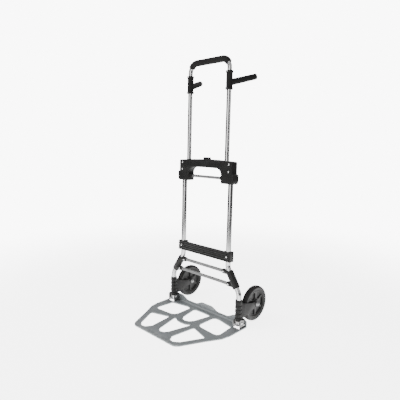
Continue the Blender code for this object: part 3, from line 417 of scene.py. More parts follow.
# %% [markdown]
# ## Drawing tools
# Nearly every piece is one of four shapes: a round section swept along a path, a profile turned on a
# lathe, an outline pushed along an axis, or a few of these joined and cut by Booleans. Each tool
# returns a bmesh; `piece` turns it into an object with a finish that rides on its body.
# %% Points and outlines
GAP = 0.0003     # between pieces that fit together


def mm(*points):
    """Points written in millimetres, as metres."""
    return [tuple(value / 1000 for value in point) for point in points]


def arc(centre, radii, start, end, steps):
    angles = [radians(start + (end - start) * step / steps) for step in range(steps + 1)]
    return [(centre[0] + radii[0] * cos(a), centre[1] + radii[1] * sin(a)) for a in angles]


def mirrored(points):
    return list(points) + [(-x, other) for x, other in reversed(points) if abs(x) > 1e-9]


def signed_area(points):
    pairs = zip(points, points[1:] + points[:1])
    return sum(a[0] * b[1] - b[0] * a[1] for a, b in pairs) / 2


def offset(points, distance):
    """The closed outline moved inward, or outward where the distance is negative."""
    count = len(points)
    sense = 1.0 if signed_area(points) > 0 else -1.0
    moved = []
    for i in range(count):
        here = Vector(points[i])
        before = (here - Vector(points[i - 1])).normalized()
        after = (Vector(points[(i + 1) % count]) - here).normalized()
        one = Vector((-before.y, before.x)) * sense
        two = Vector((-after.y, after.x)) * sense
        moved.append(tuple(here + (one + two) * (distance / max(0.3, 1.0 + one.dot(two)))))
    return moved


print("a square moved in:", offset([(0, 0), (1, 0), (1, 1), (0, 1)], 0.25))


# %% [markdown]
# Corners come in two kinds. An outline's corners are eased by a simple curve, whose exact shape doesn't
# show. A tube's bends are true arcs, because a pipe bender makes them so.
# %% Rounded corners
def rounded(points, radius, steps=6):
    """The closed outline with its corners eased by curves of about the radius."""
    result = []
    count = len(points)
    for i in range(count):
        here = Vector(points[i])
        to_last = Vector(points[i - 1]) - here
        to_next = Vector(points[(i + 1) % count]) - here
        half = to_last.angle(to_next) / 2
        reach = min(radius / tan(half), 0.45 * to_last.length, 0.45 * to_next.length)
        start = here + to_last.normalized() * reach
        end = here + to_next.normalized() * reach
        for step in range(steps + 1):
            t = step / steps
            result.append(tuple(start * (1 - t) ** 2 + here * (2 * t * (1 - t)) + end * t ** 2))
    return result


def rounded_path(corners, radius, steps):
    """An open path whose inner corners are arcs of the radius."""
    points = [Vector(corners[0])]
    for before, here, after in zip(corners, corners[1:], corners[2:]):
        here = Vector(here)
        back = (Vector(before) - here).normalized()
        on = (Vector(after) - here).normalized()
        half = back.angle(on) / 2
        centre = here + (back + on).normalized() * (radius / sin(half))
        start = here + back * (radius / tan(half)) - centre
        end = here + on * (radius / tan(half)) - centre
        turn = start.angle(end)
        for step in range(steps + 1):
            t = step / steps
            mix = start * sin((1 - t) * turn) + end * sin(t * turn)
            points.append(centre + mix / sin(turn))
    points.append(Vector(corners[-1]))
    return points


print("a rounded square has", len(rounded([(0, 0), (1, 0), (1, 1), (0, 1)], 0.2)), "points")


# %% [markdown]
# A round section swept along a path makes a tube. Curve objects could do that, but rings of points
# joined by faces are closed by construction, which Booleans need.
# %% Sweeps
def bridge(shape, first, second):
    """Faces between two closed rings of the same length."""
    for i in range(len(first)):
        j = (i + 1) % len(first)
        shape.faces.new((first[i], first[j], second[j], second[i]))


def rings_of(shape, rings, closed):
    """Skin over a row of rings: capped at its ends, or joined round into a closed ring."""
    made = [[shape.verts.new(point) for point in ring] for ring in rings]
    for first, second in zip(made, made[1:]):
        bridge(shape, first, second)
    if closed:
        bridge(shape, made[-1], made[0])
    else:
        shape.faces.new(made[0])
        shape.faces.new(made[-1])
    return shape


def section(path, i, radius, sides):
    """The ring of a round section at one point of a path that lies in the x-height plane."""
    before = (path[i] - path[i - 1]).normalized() if i else Vector()
    after = (path[i + 1] - path[i]).normalized() if i < len(path) - 1 else Vector()
    along = (before + after).normalized()
    depth = Vector((0, 1, 0))
    other = along.cross(depth).normalized()
    turns = [2 * pi * k / sides for k in range(sides)]
    return [path[i] + (depth * cos(a) + other * sin(a)) * radius for a in turns]


def tube(path, outer, inner, sides=40):
    """A tube along a path. Outer may be one radius or one for each point."""
    radii = outer if isinstance(outer, list) else [outer] * len(path)
    out = [section(path, i, radii[i], sides) for i in range(len(path))]
    back = [section(path, i, inner, sides) for i in reversed(range(len(path)))]
    return rings_of(bmesh.new(), out + back, True)


print("a tube has", len(tube([Vector(), Vector((0, 0, 1))], 0.2, 0.1).faces), "faces")


# %% [markdown]
# A profile turned about an axis makes anything round, and an outline pushed along an axis makes the
# rest. Where a profile touches the axis its ring is one point, and the faces there are triangles.
# %% Turnings and extrusions
def lathe(profile, sides=48):
    """Profile of (radius, height) turned about Z: a solid if it starts on the axis, or else a ring."""
    shape = bmesh.new()
    turns = [2 * pi * k / sides for k in range(sides)]
    rows = []
    for radius, z in profile:
        if radius < 1e-9:
            rows.append([shape.verts.new((0, 0, z))])
        else:
            rows.append([shape.verts.new((radius * cos(a), radius * sin(a), z)) for a in turns])
    pairs = list(zip(rows, rows[1:])) + ([(rows[-1], rows[0])] if profile[0][0] else [])
    for first, second in pairs:
        for i in range(sides):
            j = (i + 1) % sides
            corners = [first[i % len(first)], first[j % len(first)],
                       second[j % len(second)], second[i % len(second)]]
            unique = list(dict.fromkeys(corners))
            if len(unique) > 2:
                shape.faces.new(unique)
    return shape


def rod(radius, low, high, sides):
    """A cylinder along Z."""
    return lathe([(0, low), (radius, low), (radius, high), (0, high)], sides)


def prism(outline, low, high, axis):
    """Outline pushed along an axis; its points are (y, z), (x, z) or (x, y)."""
    place = {"x": lambda p, d: (d, p[0], p[1]), "y": lambda p, d: (p[0], d, p[1]),
             "z": lambda p, d: (p[0], p[1], d)}[axis]
    rings = [[place(point, along) for point in outline] for along in (low, high)]
    return rings_of(bmesh.new(), rings, False)


def box(x, y, z):
    return prism([(x[0], y[0]), (x[1], y[0]), (x[1], y[1]), (x[0], y[1])], z[0], z[1], "z")


AXES = {"x": Vector((1, 0, 0)), "y": Vector((0, 1, 0)), "z": Vector((0, 0, 1))}


def laid(shape, direction, at=(0, 0, 0)):
    """A shape drawn along Z, laid along another direction and moved."""
    direction = AXES[direction] if isinstance(direction, str) else Vector(direction)
    spin = AXES["z"].rotation_difference(direction).to_matrix().to_4x4()
    shape.transform(Matrix.Translation(at) @ spin)
    return shape


print("a rod has", len(rod(0.01, 0, 0.1, 40).faces), "faces")


# %% [markdown]
# Booleans here work on meshes that are already final: the shapes go into throw-away objects, the
# modifiers are evaluated, and the result comes back as a bmesh. Flat faces that the cuts split are
# merged again, so that a bevel can round the real edges only.
# %% Joining, cutting and easing edges
ADD, CUT, MEET = "UNION", "DIFFERENCE", "INTERSECT"


def as_mesh(name, shape):
    """The shape as a mesh, with its faces turned outward."""
    bmesh.ops.recalc_face_normals(shape, faces=shape.faces)
    mesh = bpy.data.meshes.new(name)
    shape.to_mesh(mesh)
    shape.free()
    return mesh


def joined(shapes):
    """Several closed shapes as one, left whole."""
    whole = bmesh.new()
    for shape in shapes:
        part = as_mesh("part", shape)
        whole.from_mesh(part)
        bpy.data.meshes.remove(part)
    return whole


def carved(shape, *steps):
    """The shape after steps of (ADD | CUT | MEET, other shape)."""
    target = placed("target", as_mesh("tool", shape))
    helpers = [placed("helper", as_mesh("tool", other)) for operation, other in steps]
    for (operation, other), helper in zip(steps, helpers):
        step = target.modifiers.new("step", "BOOLEAN")
        step.operation = operation
        step.solver = "EXACT"
        step.object = helper
    bpy.context.view_layer.update()
    result = bmesh.new()
    result.from_mesh(target.evaluated_get(bpy.context.evaluated_depsgraph_get()).to_mesh())
    for thing in [target] + helpers:
        bpy.data.objects.remove(thing)
    return result


def eased(shape, width, steps=2, angle=32.0):
    """Rounds the edges that are sharper than the angle."""
    bmesh.ops.remove_doubles(shape, verts=shape.verts, dist=2e-6)
    bmesh.ops.dissolve_limit(shape, angle_limit=radians(1.0), verts=shape.verts, edges=shape.edges)
    sharp = [edge for edge in shape.edges
             if len(edge.link_faces) == 2 and edge.calc_face_angle(0) > radians(angle)]
    bmesh.ops.bevel(shape, geom=sharp, offset=width, offset_type="OFFSET", segments=steps, profile=0.5,
                    affect="EDGES", clamp_overlap=True, loop_slide=True)
    return shape


notch = (CUT, box((1, 3), (1, 3), (1, 3)))
print("a notched box has", len(carved(box((0, 2), (0, 2), (0, 2)), notch).faces), "faces")

# %% [markdown]
# Every piece is finished in the same way: moved into place, smooth shaded except at sharp edges, given
# its finish and parented to its body, and the packed nodes it stands for are hidden.
# %% Finished pieces
made_pieces = []


def piece(name, shape, finish, body, stands_for=(), at=UPRIGHT, sharp=35.0):
    """The finished object: smooth shaded, in its material, riding on its body."""
    shape.transform(at)
    mesh = as_mesh(name, shape)
    mesh.shade_smooth()
    mesh.set_sharp_from_angle(angle=radians(sharp))
    mesh.materials.append(finish)
    thing = placed(name, mesh)
    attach(thing, body)
    if stands_for:
        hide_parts(*stands_for)
    made_pieces.append(name)
    return thing


SIDES = (("left", -1), ("right", 1))
print("drawing tools ready")

# %% [markdown]
# ## Tubes
# The lower tubes bend outward to the wheels and stand on plugged ends. The handle is one tube with two
# rounded corners. Round holes in the inner side of each leg take the lock pins, one hole when the
# handle is up and one when it is down, so they are really cut through the wall.
# %% Lower tubes and the handle
LOWER_X, UPPER_X = 0.1593, 0.13
LOWER_R, HANDLE_R = 0.0125, 0.011
LOWER_BEND, HANDLE_BEND = 0.055, 0.045
BEND_TOP, BEND_LOW = 0.285, 0.171
HANDLE_TOP = 1.285
LOCK_H, LOCK_HOLE_R, TRAVEL = 0.786, 0.0043, 0.329


def lower_path(side, steps):
    corners = [(side * LOWER_X, 0, 0.797), (side * LOWER_X, 0, BEND_TOP), (side * FOOT_X, 0, BEND_LOW),
               (side * FOOT_X, 0, 0.012)]
    return rounded_path(corners, LOWER_BEND, steps)


def handle_path(end=0.698):
    corners = [(-UPPER_X, 0, end), (-UPPER_X, 0, HANDLE_TOP), (UPPER_X, 0, HANDLE_TOP), (UPPER_X, 0, end)]
    return rounded_path(corners, HANDLE_BEND, 16)


for word, side in SIDES:
    piece(f"lower_tube_skin_{word}", tube(lower_path(side, 20), LOWER_R, 0.0107), tube_metal, "frame",
          [f"lower_tube_{word}"])

holes = [(CUT, laid(rod(LOCK_HOLE_R, 0, 0.0113, 24), (-side, 0, 0), (side * UPPER_X, 0, height)))
         for word, side in SIDES for height in (LOCK_H, LOCK_H + TRAVEL)]
piece("handle_skin", carved(tube(handle_path(), HANDLE_R, 0.0094), *holes), tube_metal, "handle",
      ["handle_tube"])
print("tubes:", made_pieces)


# %% [markdown]
# The foam sleeve is pulled over the top of the handle, and ends part of the way down each bend. It
# thins at both ends, where it was cut.
# %% Foam sleeve
def foam_sleeve(radius=0.0155):
    path = []
    for side, start, end in ((-1, 149, 90), (1, 90, 31)):
        centre = (side * (UPPER_X - HANDLE_BEND), HANDLE_TOP - HANDLE_BEND)
        bend = arc(centre, (HANDLE_BEND, HANDLE_BEND), start, end, 44)
        path += [Vector((x, 0, height)) for x, height in bend]
    thin = [0.0122, 0.0139, 0.0149, 0.0153, radius]
    return tube(path, thin + [radius] * (len(path) - 2 * len(thin)) + thin[::-1], HANDLE_R + GAP, 48)


sleeve = piece("handle_foam", foam_sleeve(), foam_skin, "handle", ["handle_grip"])
print(sleeve.name, "has", len(sleeve.data.vertices), "vertices")

# %% [markdown]
# ## Side grips
# Each is a sleeve on the handle's leg, in two halves, and a stub that points back and outward. The rear
# half and its stub are one moulding. A bright set screw sits in the front of each rim.
# %% Side grips
STUB_H = 1.171
STUB_OUT, STUB_UP = radians(23.7), radians(16)


def sleeve_solid():
    low, high, rim, waist = 1.14, 1.226, 0.018, 0.0155
    half = [(0, low), (rim - 0.001, low), (rim, low + 0.001), (rim, low + 0.008),
            (rim - 0.0006, low + 0.009), (waist, low + 0.011)]
    return lathe(half + [(r, low + high - h) for r, h in reversed(half)], 56)


def stub_solid():
    """Tapered, with a shallow waist, a groove behind the lip and a flat end."""
    return lathe(mm((0, 0), (15.5, 0), (14.9, 20), (14.5, 50), (14.3, 90), (14.3, 136.5), (13.7, 137.5),
                    (13.7, 139), (14.3, 140), (14.3, 144), (13.7, 145.8), (12, 146.8), (10, 147),
                    (0, 147)), 48)


def half_grip(side, rear):
    """The sleeve's rear half with the stub, or its front half."""
    at = (side * UPPER_X, 0, 0)
    way = (side * sin(STUB_OUT) * cos(STUB_UP), cos(STUB_OUT) * cos(STUB_UP),
           sin(STUB_UP))
    steps = [(ADD, laid(stub_solid(), way, (side * UPPER_X, 0, STUB_H)))] if rear else []
    depth = (-0.04, GAP / 2) if rear else (-GAP / 2, 0.04)
    steps += [(CUT, box((at[0] - 0.04, at[0] + 0.04), depth, (1.12, 1.25))),
              (CUT, laid(rod(HANDLE_R + 0.0004, 1.12, 1.25, 56), "z", at))]
    return eased(carved(laid(sleeve_solid(), "z", at), *steps), 0.0006)


def set_screw():
    return lathe(mm((0, 0.2), (0.9, 0.2), (1.3, 0.8), (2.4, 0.8), (2.7, 0.4), (2.7, -3), (0, -3)), 24)


for word, side in SIDES:
    for stem, node in (("side_grip_skin", "side_grip"), ("side_grip_front", "side_grip_cap")):
        piece(f"{stem}_{word}", half_grip(side, node == "side_grip"), grip_plastic, f"side_grip_{word}",
              [f"{node}_{word}"])
    for label, height in (("low", 1.1445), ("high", 1.2215)):
        piece(f"set_screw_{label}_{word}", laid(set_screw(), (0, -1, 0), (side * UPPER_X, -0.0177, height)),
              screw_metal, f"side_grip_{word}")
print("side grips:", made_pieces[4:])

# %% [markdown]
# ## Crosshead
# Two shells clamp the lower tubes and guide the handle. The edges are well rounded, the front has a
# shallow panel sunk into it, and there is a hand opening with a grip bar below it.
# %% Crosshead outline
HEAD_DEPTH = 0.021
BUSH_R = 0.014
GRIP_BAR_H = 0.721


def head_outline():
    outer = mm((0, 810), (60, 809), (120, 806.8), (166, 803.8))
    outer += arc((0.172, 0.797), (0.008, 0.0065), 80, 0, 8)
    outer += mm((180, 760), (180, 750), (181.5, 745), (187, 742.5))
    outer += arc((0.187, 0.7375), (0.004, 0.0045), 60, 0, 4)
    outer += mm((191, 714), (189.5, 705), (186, 698.5), (180, 696), (122, 696))
    outer += arc((0.117, 0.702), (0.006, 0.006), 270, 180, 6)
    arch = arc((0.077, 0.736), (0.034, 0.032), 0, 90, 14)
    return mirrored(outer + arch + mm((40, 768.7), (0, 769)))


def soft_slab(outline, near, far, ease):
    """A slab from near to far along y; the edge at the far side is rounded."""
    sign = 1 if far > near else -1
    rings = [(0, near), (0, far - sign * ease)]
    for step in range(1, 5):
        turn = radians(22.5 * step)
        rings.append((ease * (1 - cos(turn)), far - sign * ease * (1 - sin(turn))))
    layers = [[(x, y, h) for x, h in (offset(outline, inward) if inward else outline)]
              for inward, y in rings]
    return rings_of(bmesh.new(), layers, False)


print(len(head_outline()), "points around the crosshead")


# %% [markdown]
# The release button's wedge and two lock rods move inside, so each shell is hollow there. Rounded slabs
# with the same hollows cut from both keep the two shells alike; the rib is on one side only, so that
# each shell holds one spring.
# %% Crosshead shells
def cavity(sign):
    """Room for the button, its wedge and the lock rods, with a rib for this shell's lock spring."""
    main = mm((112, 779), (26, 779), (26, 773), (-26, 773), (-26, 779), (-57, 779), (-57, 794.5),
              (-26, 794.5), (-26, 798), (26, 798), (26, 794.5), (112, 794.5))
    beyond = mm((-60, 779), (-112, 779), (-112, 794.5), (-60, 794.5))
    return [prism([(sign * x, h) for x, h in outline], -0.0095, 0.0095, "y") for outline in (main, beyond)]


def head_shell(sign):
    near, far = sign * GAP / 2, sign * HEAD_DEPTH
    steps = []
    half = (-90, 90) if sign > 0 else (90, 270)
    for side in (-1, 1):
        disc = arc((near, GRIP_BAR_H), (0.0115, 0.0115), *half, 20)
        steps.append((ADD, prism(disc, side * 0.097, side * 0.117, "x")))
    for side in (-1, 1):
        steps.append((CUT, laid(rod(LOWER_R + GAP, 0.68, 0.7973, 48), "z", (side * LOWER_X, 0, 0))))
        steps.append((CUT, laid(rod(BUSH_R + GAP, 0.68, 0.83, 48), "z", (side * UPPER_X, 0, 0))))
        steps.append((CUT, laid(rod(LOCK_HOLE_R, 0.102, 0.13, 24), (side, 0, 0), (0, 0, LOCK_H))))
    steps.append((CUT, laid(rod(0.0075, -0.112, 0.112, 32), "x", (0, 0, GRIP_BAR_H))))
    steps += [(CUT, room) for room in cavity(sign)]
    steps.append((CUT, box((-0.02, 0.02), (-0.008, 0.008), (LOCK_H, 0.83))))
    if sign < 0:
        sunk = rounded(mm((-98, 776.5), (98, 776.5), (98, 799.5), (-98, 800.5)), 0.006)
        steps.append((CUT, prism(sunk, far - 0.002, far + 0.001, "y")))
    return carved(soft_slab(head_outline(), near, far, 0.0035), *steps)


for name, sign in (("crosshead_front_shell", -1), ("crosshead_rear_shell", 1)):
    piece(name.replace("shell", "skin"), eased(head_shell(sign), 0.0005), black_plastic, "frame",
          [name])
bar = lathe(mm((7.2, -111.7), (7.2, 111.7), (5.7, 111.7), (5.7, -111.7)), 40)
piece("grip_bar_skin", laid(bar, "x", (0, 0, GRIP_BAR_H)), bar_paint, "frame",
      ["crosshead_grip_bar"])
print("crosshead:", made_pieces[-3:])


# %% [markdown]
# ## Fasteners
# Pan-head screws with a cross recess go through the crosshead and the panel; rivets have plain domes.
# %% Screws and rivets
def pan_head(radius, height, recess):
    profile = [(0, height), (radius * 0.45, height * 0.98), (radius * 0.75, height * 0.8),
               (radius * 0.93, height * 0.45), (radius, height * 0.12), (radius, GAP), (0, GAP)]
    head = lathe(profile, 32)
    if not recess:
        return head
    long, thin = radius * 0.52, radius * 0.12
    return carved(head, (CUT, box((-long, long), (-thin, thin), (height * 0.45, height * 2))),
                  (CUT, box((-thin, thin), (-long, long), (height * 0.45, height * 2))))


def screw(name, node, at, ends, radius, height, recess, shank):
    """A head at both ends of a shank along y. Ends are the depths of the two faces it holds."""
    shape = joined([laid(pan_head(radius, height, recess), (0, -1, 0), (at[0], ends[0], at[1])),
                    laid(pan_head(radius, height, False), (0, 1, 0), (at[0], ends[1], at[1])),
                    laid(rod(shank, ends[0] - 0.0005, ends[1] + 0.0005, 20), "y", (at[0], 0, at[1]))])
    piece(name, shape, screw_metal, "frame", [node])


BARS = (("upper", 0.132, 0.264), ("lower", 0.165, 0.207))
PANEL_BOLT_H = 0.341
for word, side in SIDES:
    for level, height in (("lower", 0.755), ("upper", 0.79)):
        screw(f"head_screw_{level}_{word}", f"crosshead_bolt_{level}_{word}", (side * LOWER_X, height),
              (-HEAD_DEPTH, HEAD_DEPTH), 0.0048, 0.0022, True, 0.0025)
    screw(f"panel_screw_{word}", f"panel_bolt_{word}", (side * LOWER_X, PANEL_BOLT_H), (-0.017, 0.0165),
          0.0048, 0.0022, True, 0.0025)
    for level, socket_x, height in BARS:
        screw(f"bar_rivet_{level}_{word}", f"crossbar_rivet_{level}_{word}",
              (side * (socket_x + 0.009), height), (-0.0165, 0.0085), 0.0046, 0.002, False, 0.0022)
print("fasteners:", len(made_pieces), "pieces so far")


# %% [markdown]
# ## Cross panel, side brackets and crossbars
# The panel ties the lower tubes together: a ribbed front, and a clamp behind each tube. Below it two
# grey crossbars end in black brackets on the slanted part of the tubes.
# %% Cross panel and its clamps
PANEL_LOW, PANEL_HIGH, PANEL_END, CLAMP_IN = 0.316, 0.366, 0.181, 0.1378


def panel_front(ribs=5):
    front = []
    for i in range(ribs):
        low = PANEL_LOW + i * (PANEL_HIGH - PANEL_LOW) / ribs
        front += [(-0.014, low + 0.0002), (-0.0163, low + 0.001), (-0.0169, low + 0.0018),
                  (-0.017, low + 0.0028), (-0.017, low + 0.0062), (-0.0169, low + 0.0072),
                  (-0.0163, low + 0.008), (-0.014, low + 0.0088)]
    return front + [(-0.014, PANEL_HIGH), (-0.008, PANEL_HIGH), (-0.008, PANEL_LOW)]


def tube_bores(side):
    return [(CUT, laid(rod(LOWER_R + GAP, 0.3, 0.38, 48), "z", (side * LOWER_X, 0, 0))),
            (CUT, laid(rod(0.0028, -0.03, 0.03, 20), "y", (side * LOWER_X, 0, PANEL_BOLT_H)))]


steps = []
for word, side in SIDES:
    x_limits = sorted((side * CLAMP_IN, side * PANEL_END))
    steps.append((ADD, box(x_limits, (-0.012, -GAP / 2), (PANEL_LOW, PANEL_HIGH))))
    steps += tube_bores(side)
panel = carved(prism(panel_front(), -PANEL_END, PANEL_END, "x"), *steps)
piece("cross_panel_skin", eased(panel, 0.0007), black_plastic, "frame", ["cross_panel"])
for word, side in SIDES:
    outline = rounded([(side * x, y) for x, y in ((CLAMP_IN, GAP / 2), (PANEL_END, GAP / 2),
                                                  (PANEL_END, 0.0165), (CLAMP_IN, 0.0165))], 0.005, 8)
    clamp = carved(prism(outline, PANEL_LOW, PANEL_HIGH, "z"), *tube_bores(side))
    piece(f"panel_clamp_skin_{word}", eased(clamp, 0.001), black_plastic, "frame",
          [f"panel_clamp_{word}"])
print("panel:", made_pieces[-3:])


# %% [markdown]
# The crossbars are flat-sided tubes with a groove along the front. Each is four rings, outside and
# inside at both ends. A bracket is a turned sleeve joined with its two sockets, and then bored for the
# tube and the bars, as the mould's cores would do.
# %% Crossbars and side brackets
BAR_Y, BAR_T, BAR_H = -0.004, 0.0052, 0.0078


def bar_section(height, grow=0.0):
    """A rounded rectangle in depth and height."""
    t, h = BAR_T + grow, BAR_H + grow
    return rounded([(BAR_Y - t, height - h), (BAR_Y + t, height - h), (BAR_Y + t, height + h),
                    (BAR_Y - t, height + h)], 0.0035, 6)


def grooved_bar(end, height):
    """A tube of that section, with a groove along its front."""
    face = BAR_Y - BAR_T
    dip = [(face + depth, height + z) for depth, z in
           ((0, 0.003), (0, 0.0022), (0.0011, 0.0012), (0.0011, -0.0012), (0, -0.0022), (0, -0.003))]
    outer = bar_section(height) + dip
    inner = offset(outer, 0.0016)
    rings = [[(x, y, z) for y, z in outline] for x, outline in
             ((-end, outer), (end, outer), (end, inner), (-end, inner))]
    return rings_of(bmesh.new(), rings, True)


def side_bracket(side):
    """A sleeve on the slanted part of the tube, with a socket for each crossbar."""
    top = Vector((side * LOWER_X, 0, BEND_TOP))
    slope = Vector((side * FOOT_X, 0, BEND_LOW)) - top
    along = slope.normalized()
    bend = LOWER_BEND * tan(along.angle(Vector((0, 0, -1))) / 2)
    start, end = bend + 0.002, slope.length - bend - 0.012
    r = 0.0185
    profile = [(0, start), (r - 0.0022, start), (r - 0.0006, start + 0.0012), (r, start + 0.0035),
               (r, end - 0.0035), (r - 0.0006, end - 0.0012), (r - 0.0022, end), (0, end)]
    steps = []
    for _, socket_x, height in BARS:
        tube_x = LOWER_X + (BEND_TOP - height) * (FOOT_X - LOWER_X) / (BEND_TOP - BEND_LOW)
        socket = lathe([(0, socket_x), (0.0108, socket_x), (0.0121, socket_x + 0.0012),
                        (0.0125, socket_x + 0.0032), (0.0125, tube_x), (0, tube_x)], 40)
        steps.append((ADD, laid(socket, (side, 0, 0), (0, BAR_Y, height))))
    path = lower_path(side, 12)
    solid_tube = [section(path, i, LOWER_R + GAP, 48) for i in range(len(path))]
    steps.append((CUT, rings_of(bmesh.new(), solid_tube, False)))
    for _, socket_x, height in BARS:
        ends = sorted((side * (socket_x - 0.01), side * (socket_x + 0.0183)))
        steps.append((CUT, prism(bar_section(height, GAP), *ends, "x")))
    return carved(laid(lathe(profile, 48), along, top), *steps)


for level, socket_x, height in BARS:
    piece(f"{level}_crossbar_skin", grooved_bar(socket_x + 0.018, height), bar_paint, "frame",
          [f"{level}_crossbar"])
for word, side in SIDES:
    piece(f"side_bracket_skin_{word}", eased(side_bracket(side), 0.0005), black_plastic, "frame",
          [f"side_bracket_{word}"])
print("brackets:", made_pieces[-4:])

# %% [markdown]
# ## Wheel forks
# A grooved sleeve turns on each foot, and two arms reach back to the axle. They are one moulding, cut
# from a plan view, a side view and a turned sleeve.
# %% Forks and collars
AXLE = LEVEL.inverted() @ Vector((0, AXLE_Y, AXLE_Z))
axle_y = AXLE.y * cos(LEAN) - AXLE.z * sin(LEAN)
axle_h = AXLE.y * sin(LEAN) + AXLE.z * cos(LEAN)
FORK_R, ARM_IN, ARM_OUT = 0.017, 0.017, 0.0205


def fork_sleeve():
    low, high, count = 0.0357, 0.136, 4
    pitch = (high - low) / (count + 1)
    outer = [(0, low), (FORK_R - 0.0008, low), (FORK_R, low + 0.0008)]
    for i in range(1, count + 1):
        middle = low + i * pitch
        outer += [(FORK_R, middle - 0.0042), (FORK_R - 0.0006, middle - 0.0036),
                  (FORK_R - 0.0026, middle - 0.0024), (FORK_R - 0.0028, middle),
                  (FORK_R - 0.0026, middle + 0.0024), (FORK_R - 0.0006, middle + 0.0036),
                  (FORK_R, middle + 0.0042)]
    return lathe(outer + [(FORK_R, high - 0.0008), (FORK_R - 0.0008, high), (0, high)], 56)


def fork_side_view():
    eye = 0.013
    end = arc((axle_y, axle_h), (eye, eye), 80, -80, 20)
    return [(0.006, 0.126), (0.03, 0.12), (0.08, axle_h + eye + 0.003)] + end + \
           mm((81, 71), (30, 54), (6, 50))


def fork_plan():
    far, back = axle_y + 0.022, axle_y - 0.0925
    return [(-0.015, 0.006), (-ARM_OUT, 0.0215), (-ARM_OUT, far), (-ARM_IN, far), (-ARM_IN, back + 0.006),
            (-0.012, back), (0.012, back), (ARM_IN, back + 0.006), (ARM_IN, far), (ARM_OUT, far),
            (ARM_OUT, 0.0215), (0.015, 0.006)]


def fork(side):
    at = (side * FOOT_X, 0, 0)
    plan = laid(prism(fork_plan(), 0.03, 0.15, "z"), "z", at)
    return carved(plan, (MEET, laid(prism(fork_side_view(), -0.05, 0.05, "x"), "z", at)),
                  (ADD, laid(fork_sleeve(), "z", at)),
                  (CUT, laid(rod(LOWER_R + 0.0004, 0.02, 0.15, 56), "z", at)),
                  (CUT, laid(rod(0.0053, -0.05, 0.05, 32), "x",
                                      (side * FOOT_X, axle_y, axle_h))))


def soft_ring(inner, outer, low, high, ease):
    return lathe([(inner, low), (outer - ease, low), (outer, low + ease), (outer, high - ease),
                  (outer - ease, high), (inner, high)], 48)


for word, side in SIDES:
    at = (side * FOOT_X, 0, 0)
    piece(f"fork_skin_{word}", eased(fork(side), 0.0006), black_plastic, f"wheel_fork_{word}",
          [f"wheel_fork_{word}"])
    piece(f"collar_skin_{word}", laid(soft_ring(0.0128, 0.0165, 0.1364, 0.1414, 0.001), "z", at),
          black_plastic, "frame", [f"fork_collar_{word}"])
print("forks:", made_pieces[-4:])


# %% [markdown]
# ## Wheels
# The tyre has two fine grooves round its tread, a shoulder, and a raised ring on the side wall. The hub
# has a thick rim and boss, with six pockets on each face that leave ribs between them.
# %% Tyres, hubs, axles and caps
def tyre_shape():
    half = mm((89, 0), (89, 2.8), (88, 3.2), (88, 4), (88.9, 4.4), (88.2, 7.8), (87.4, 8), (87.3, 8.8),
              (87.7, 9.2), (86.9, 11.8), (85.3, 13.4), (83, 14.6), (80, 15.3), (79, 15.5), (78, 15.2),
              (76.5, 14.8), (73.5, 14.8), (71.5, 14.6), (70, 14), (69.3, 13.5))
    return lathe([(r, -z) for r, z in reversed(half)] + half[1:], 96)


def hub_blank():
    face, half_w = 0.0156, 0.0135
    half = [(0.069, half_w - 0.0008), (0.0682, half_w), (0.0645, half_w), (0.0632, half_w - 0.0006),
            (0.0622, half_w - 0.0022), (0.0616, 0.0095), (0.061, 0.009), (0.024, 0.009),
            (0.0228, 0.0094), (0.0196, face - 0.0012), (0.0186, face - 0.0002), (0.0175, face),
            (0.01, face), (0.0092, face - 0.0006)]
    return lathe(half + [(r, -z) for r, z in reversed(half)], 96)


def hub_pockets(face, depth=0.0058, count=6):
    """Pockets from a face of the hub inward."""
    low, high = sorted((face, face - copysign(depth, face)))
    pockets = []
    for i in range(count):
        middle = 360 * i / count + 30
        outline = arc((0, 0), (0.0575, 0.0575), middle - 24, middle + 24, 10)
        outline += arc((0, 0), (0.0265, 0.0265), middle + 17, middle - 17, 8)
        pockets.append(prism(rounded(outline, 0.003, 3), low, high, "z"))
    return joined(pockets)


def dome_cap():
    """A cap pressed on the axle: a rolled rim and a low dome."""
    r, base, top = 0.0115, ARM_OUT + GAP, ARM_OUT + 0.0105
    return [(r - 0.0004, base), (r, base + 0.0004), (r, base + 0.0022), (r - 0.0005, base + 0.003),
            (r - 0.0011, base + 0.0036), (r - 0.0016, base + 0.0052), (r - 0.003, base + 0.0074),
            (r - 0.0052, base + 0.0092), (r - 0.008, top - 0.0001), (0, top)]


for word, side in SIDES:
    at = (side * FOOT_X, axle_y, axle_h)
    piece(f"tyre_skin_{word}", laid(tyre_shape(), "x", at), rubber, f"wheel_{word}",
          [f"tyre_{word}"], sharp=28.0)
    hub = carved(hub_blank(), (CUT, hub_pockets(0.01)), (CUT, hub_pockets(-0.01)))
    piece(f"hub_skin_{word}", laid(eased(hub, 0.0007), "x", at), rim_plastic, f"wheel_{word}",
          [f"wheel_hub_{word}"])
    shaft = [(0, -0.027), (0.0046, -0.027), (0.005, -0.0266), (0.005, ARM_OUT + GAP)] + dome_cap()
    piece(f"axle_skin_{word}", laid(lathe(shaft, 40), (side, 0, 0), at), zinc_metal,
          f"wheel_fork_{word}", [f"axle_{word}"])
    cap = [(0, 0.0273), (0.0053, 0.0273), (0.0053, ARM_OUT + GAP)] + dome_cap()
    piece(f"axle_cap_skin_{word}", laid(lathe(cap, 40), (-side, 0, 0), at), zinc_metal,
          f"wheel_fork_{word}", [f"axle_cap_{word}"])
print("wheels:", made_pieces[-8:])


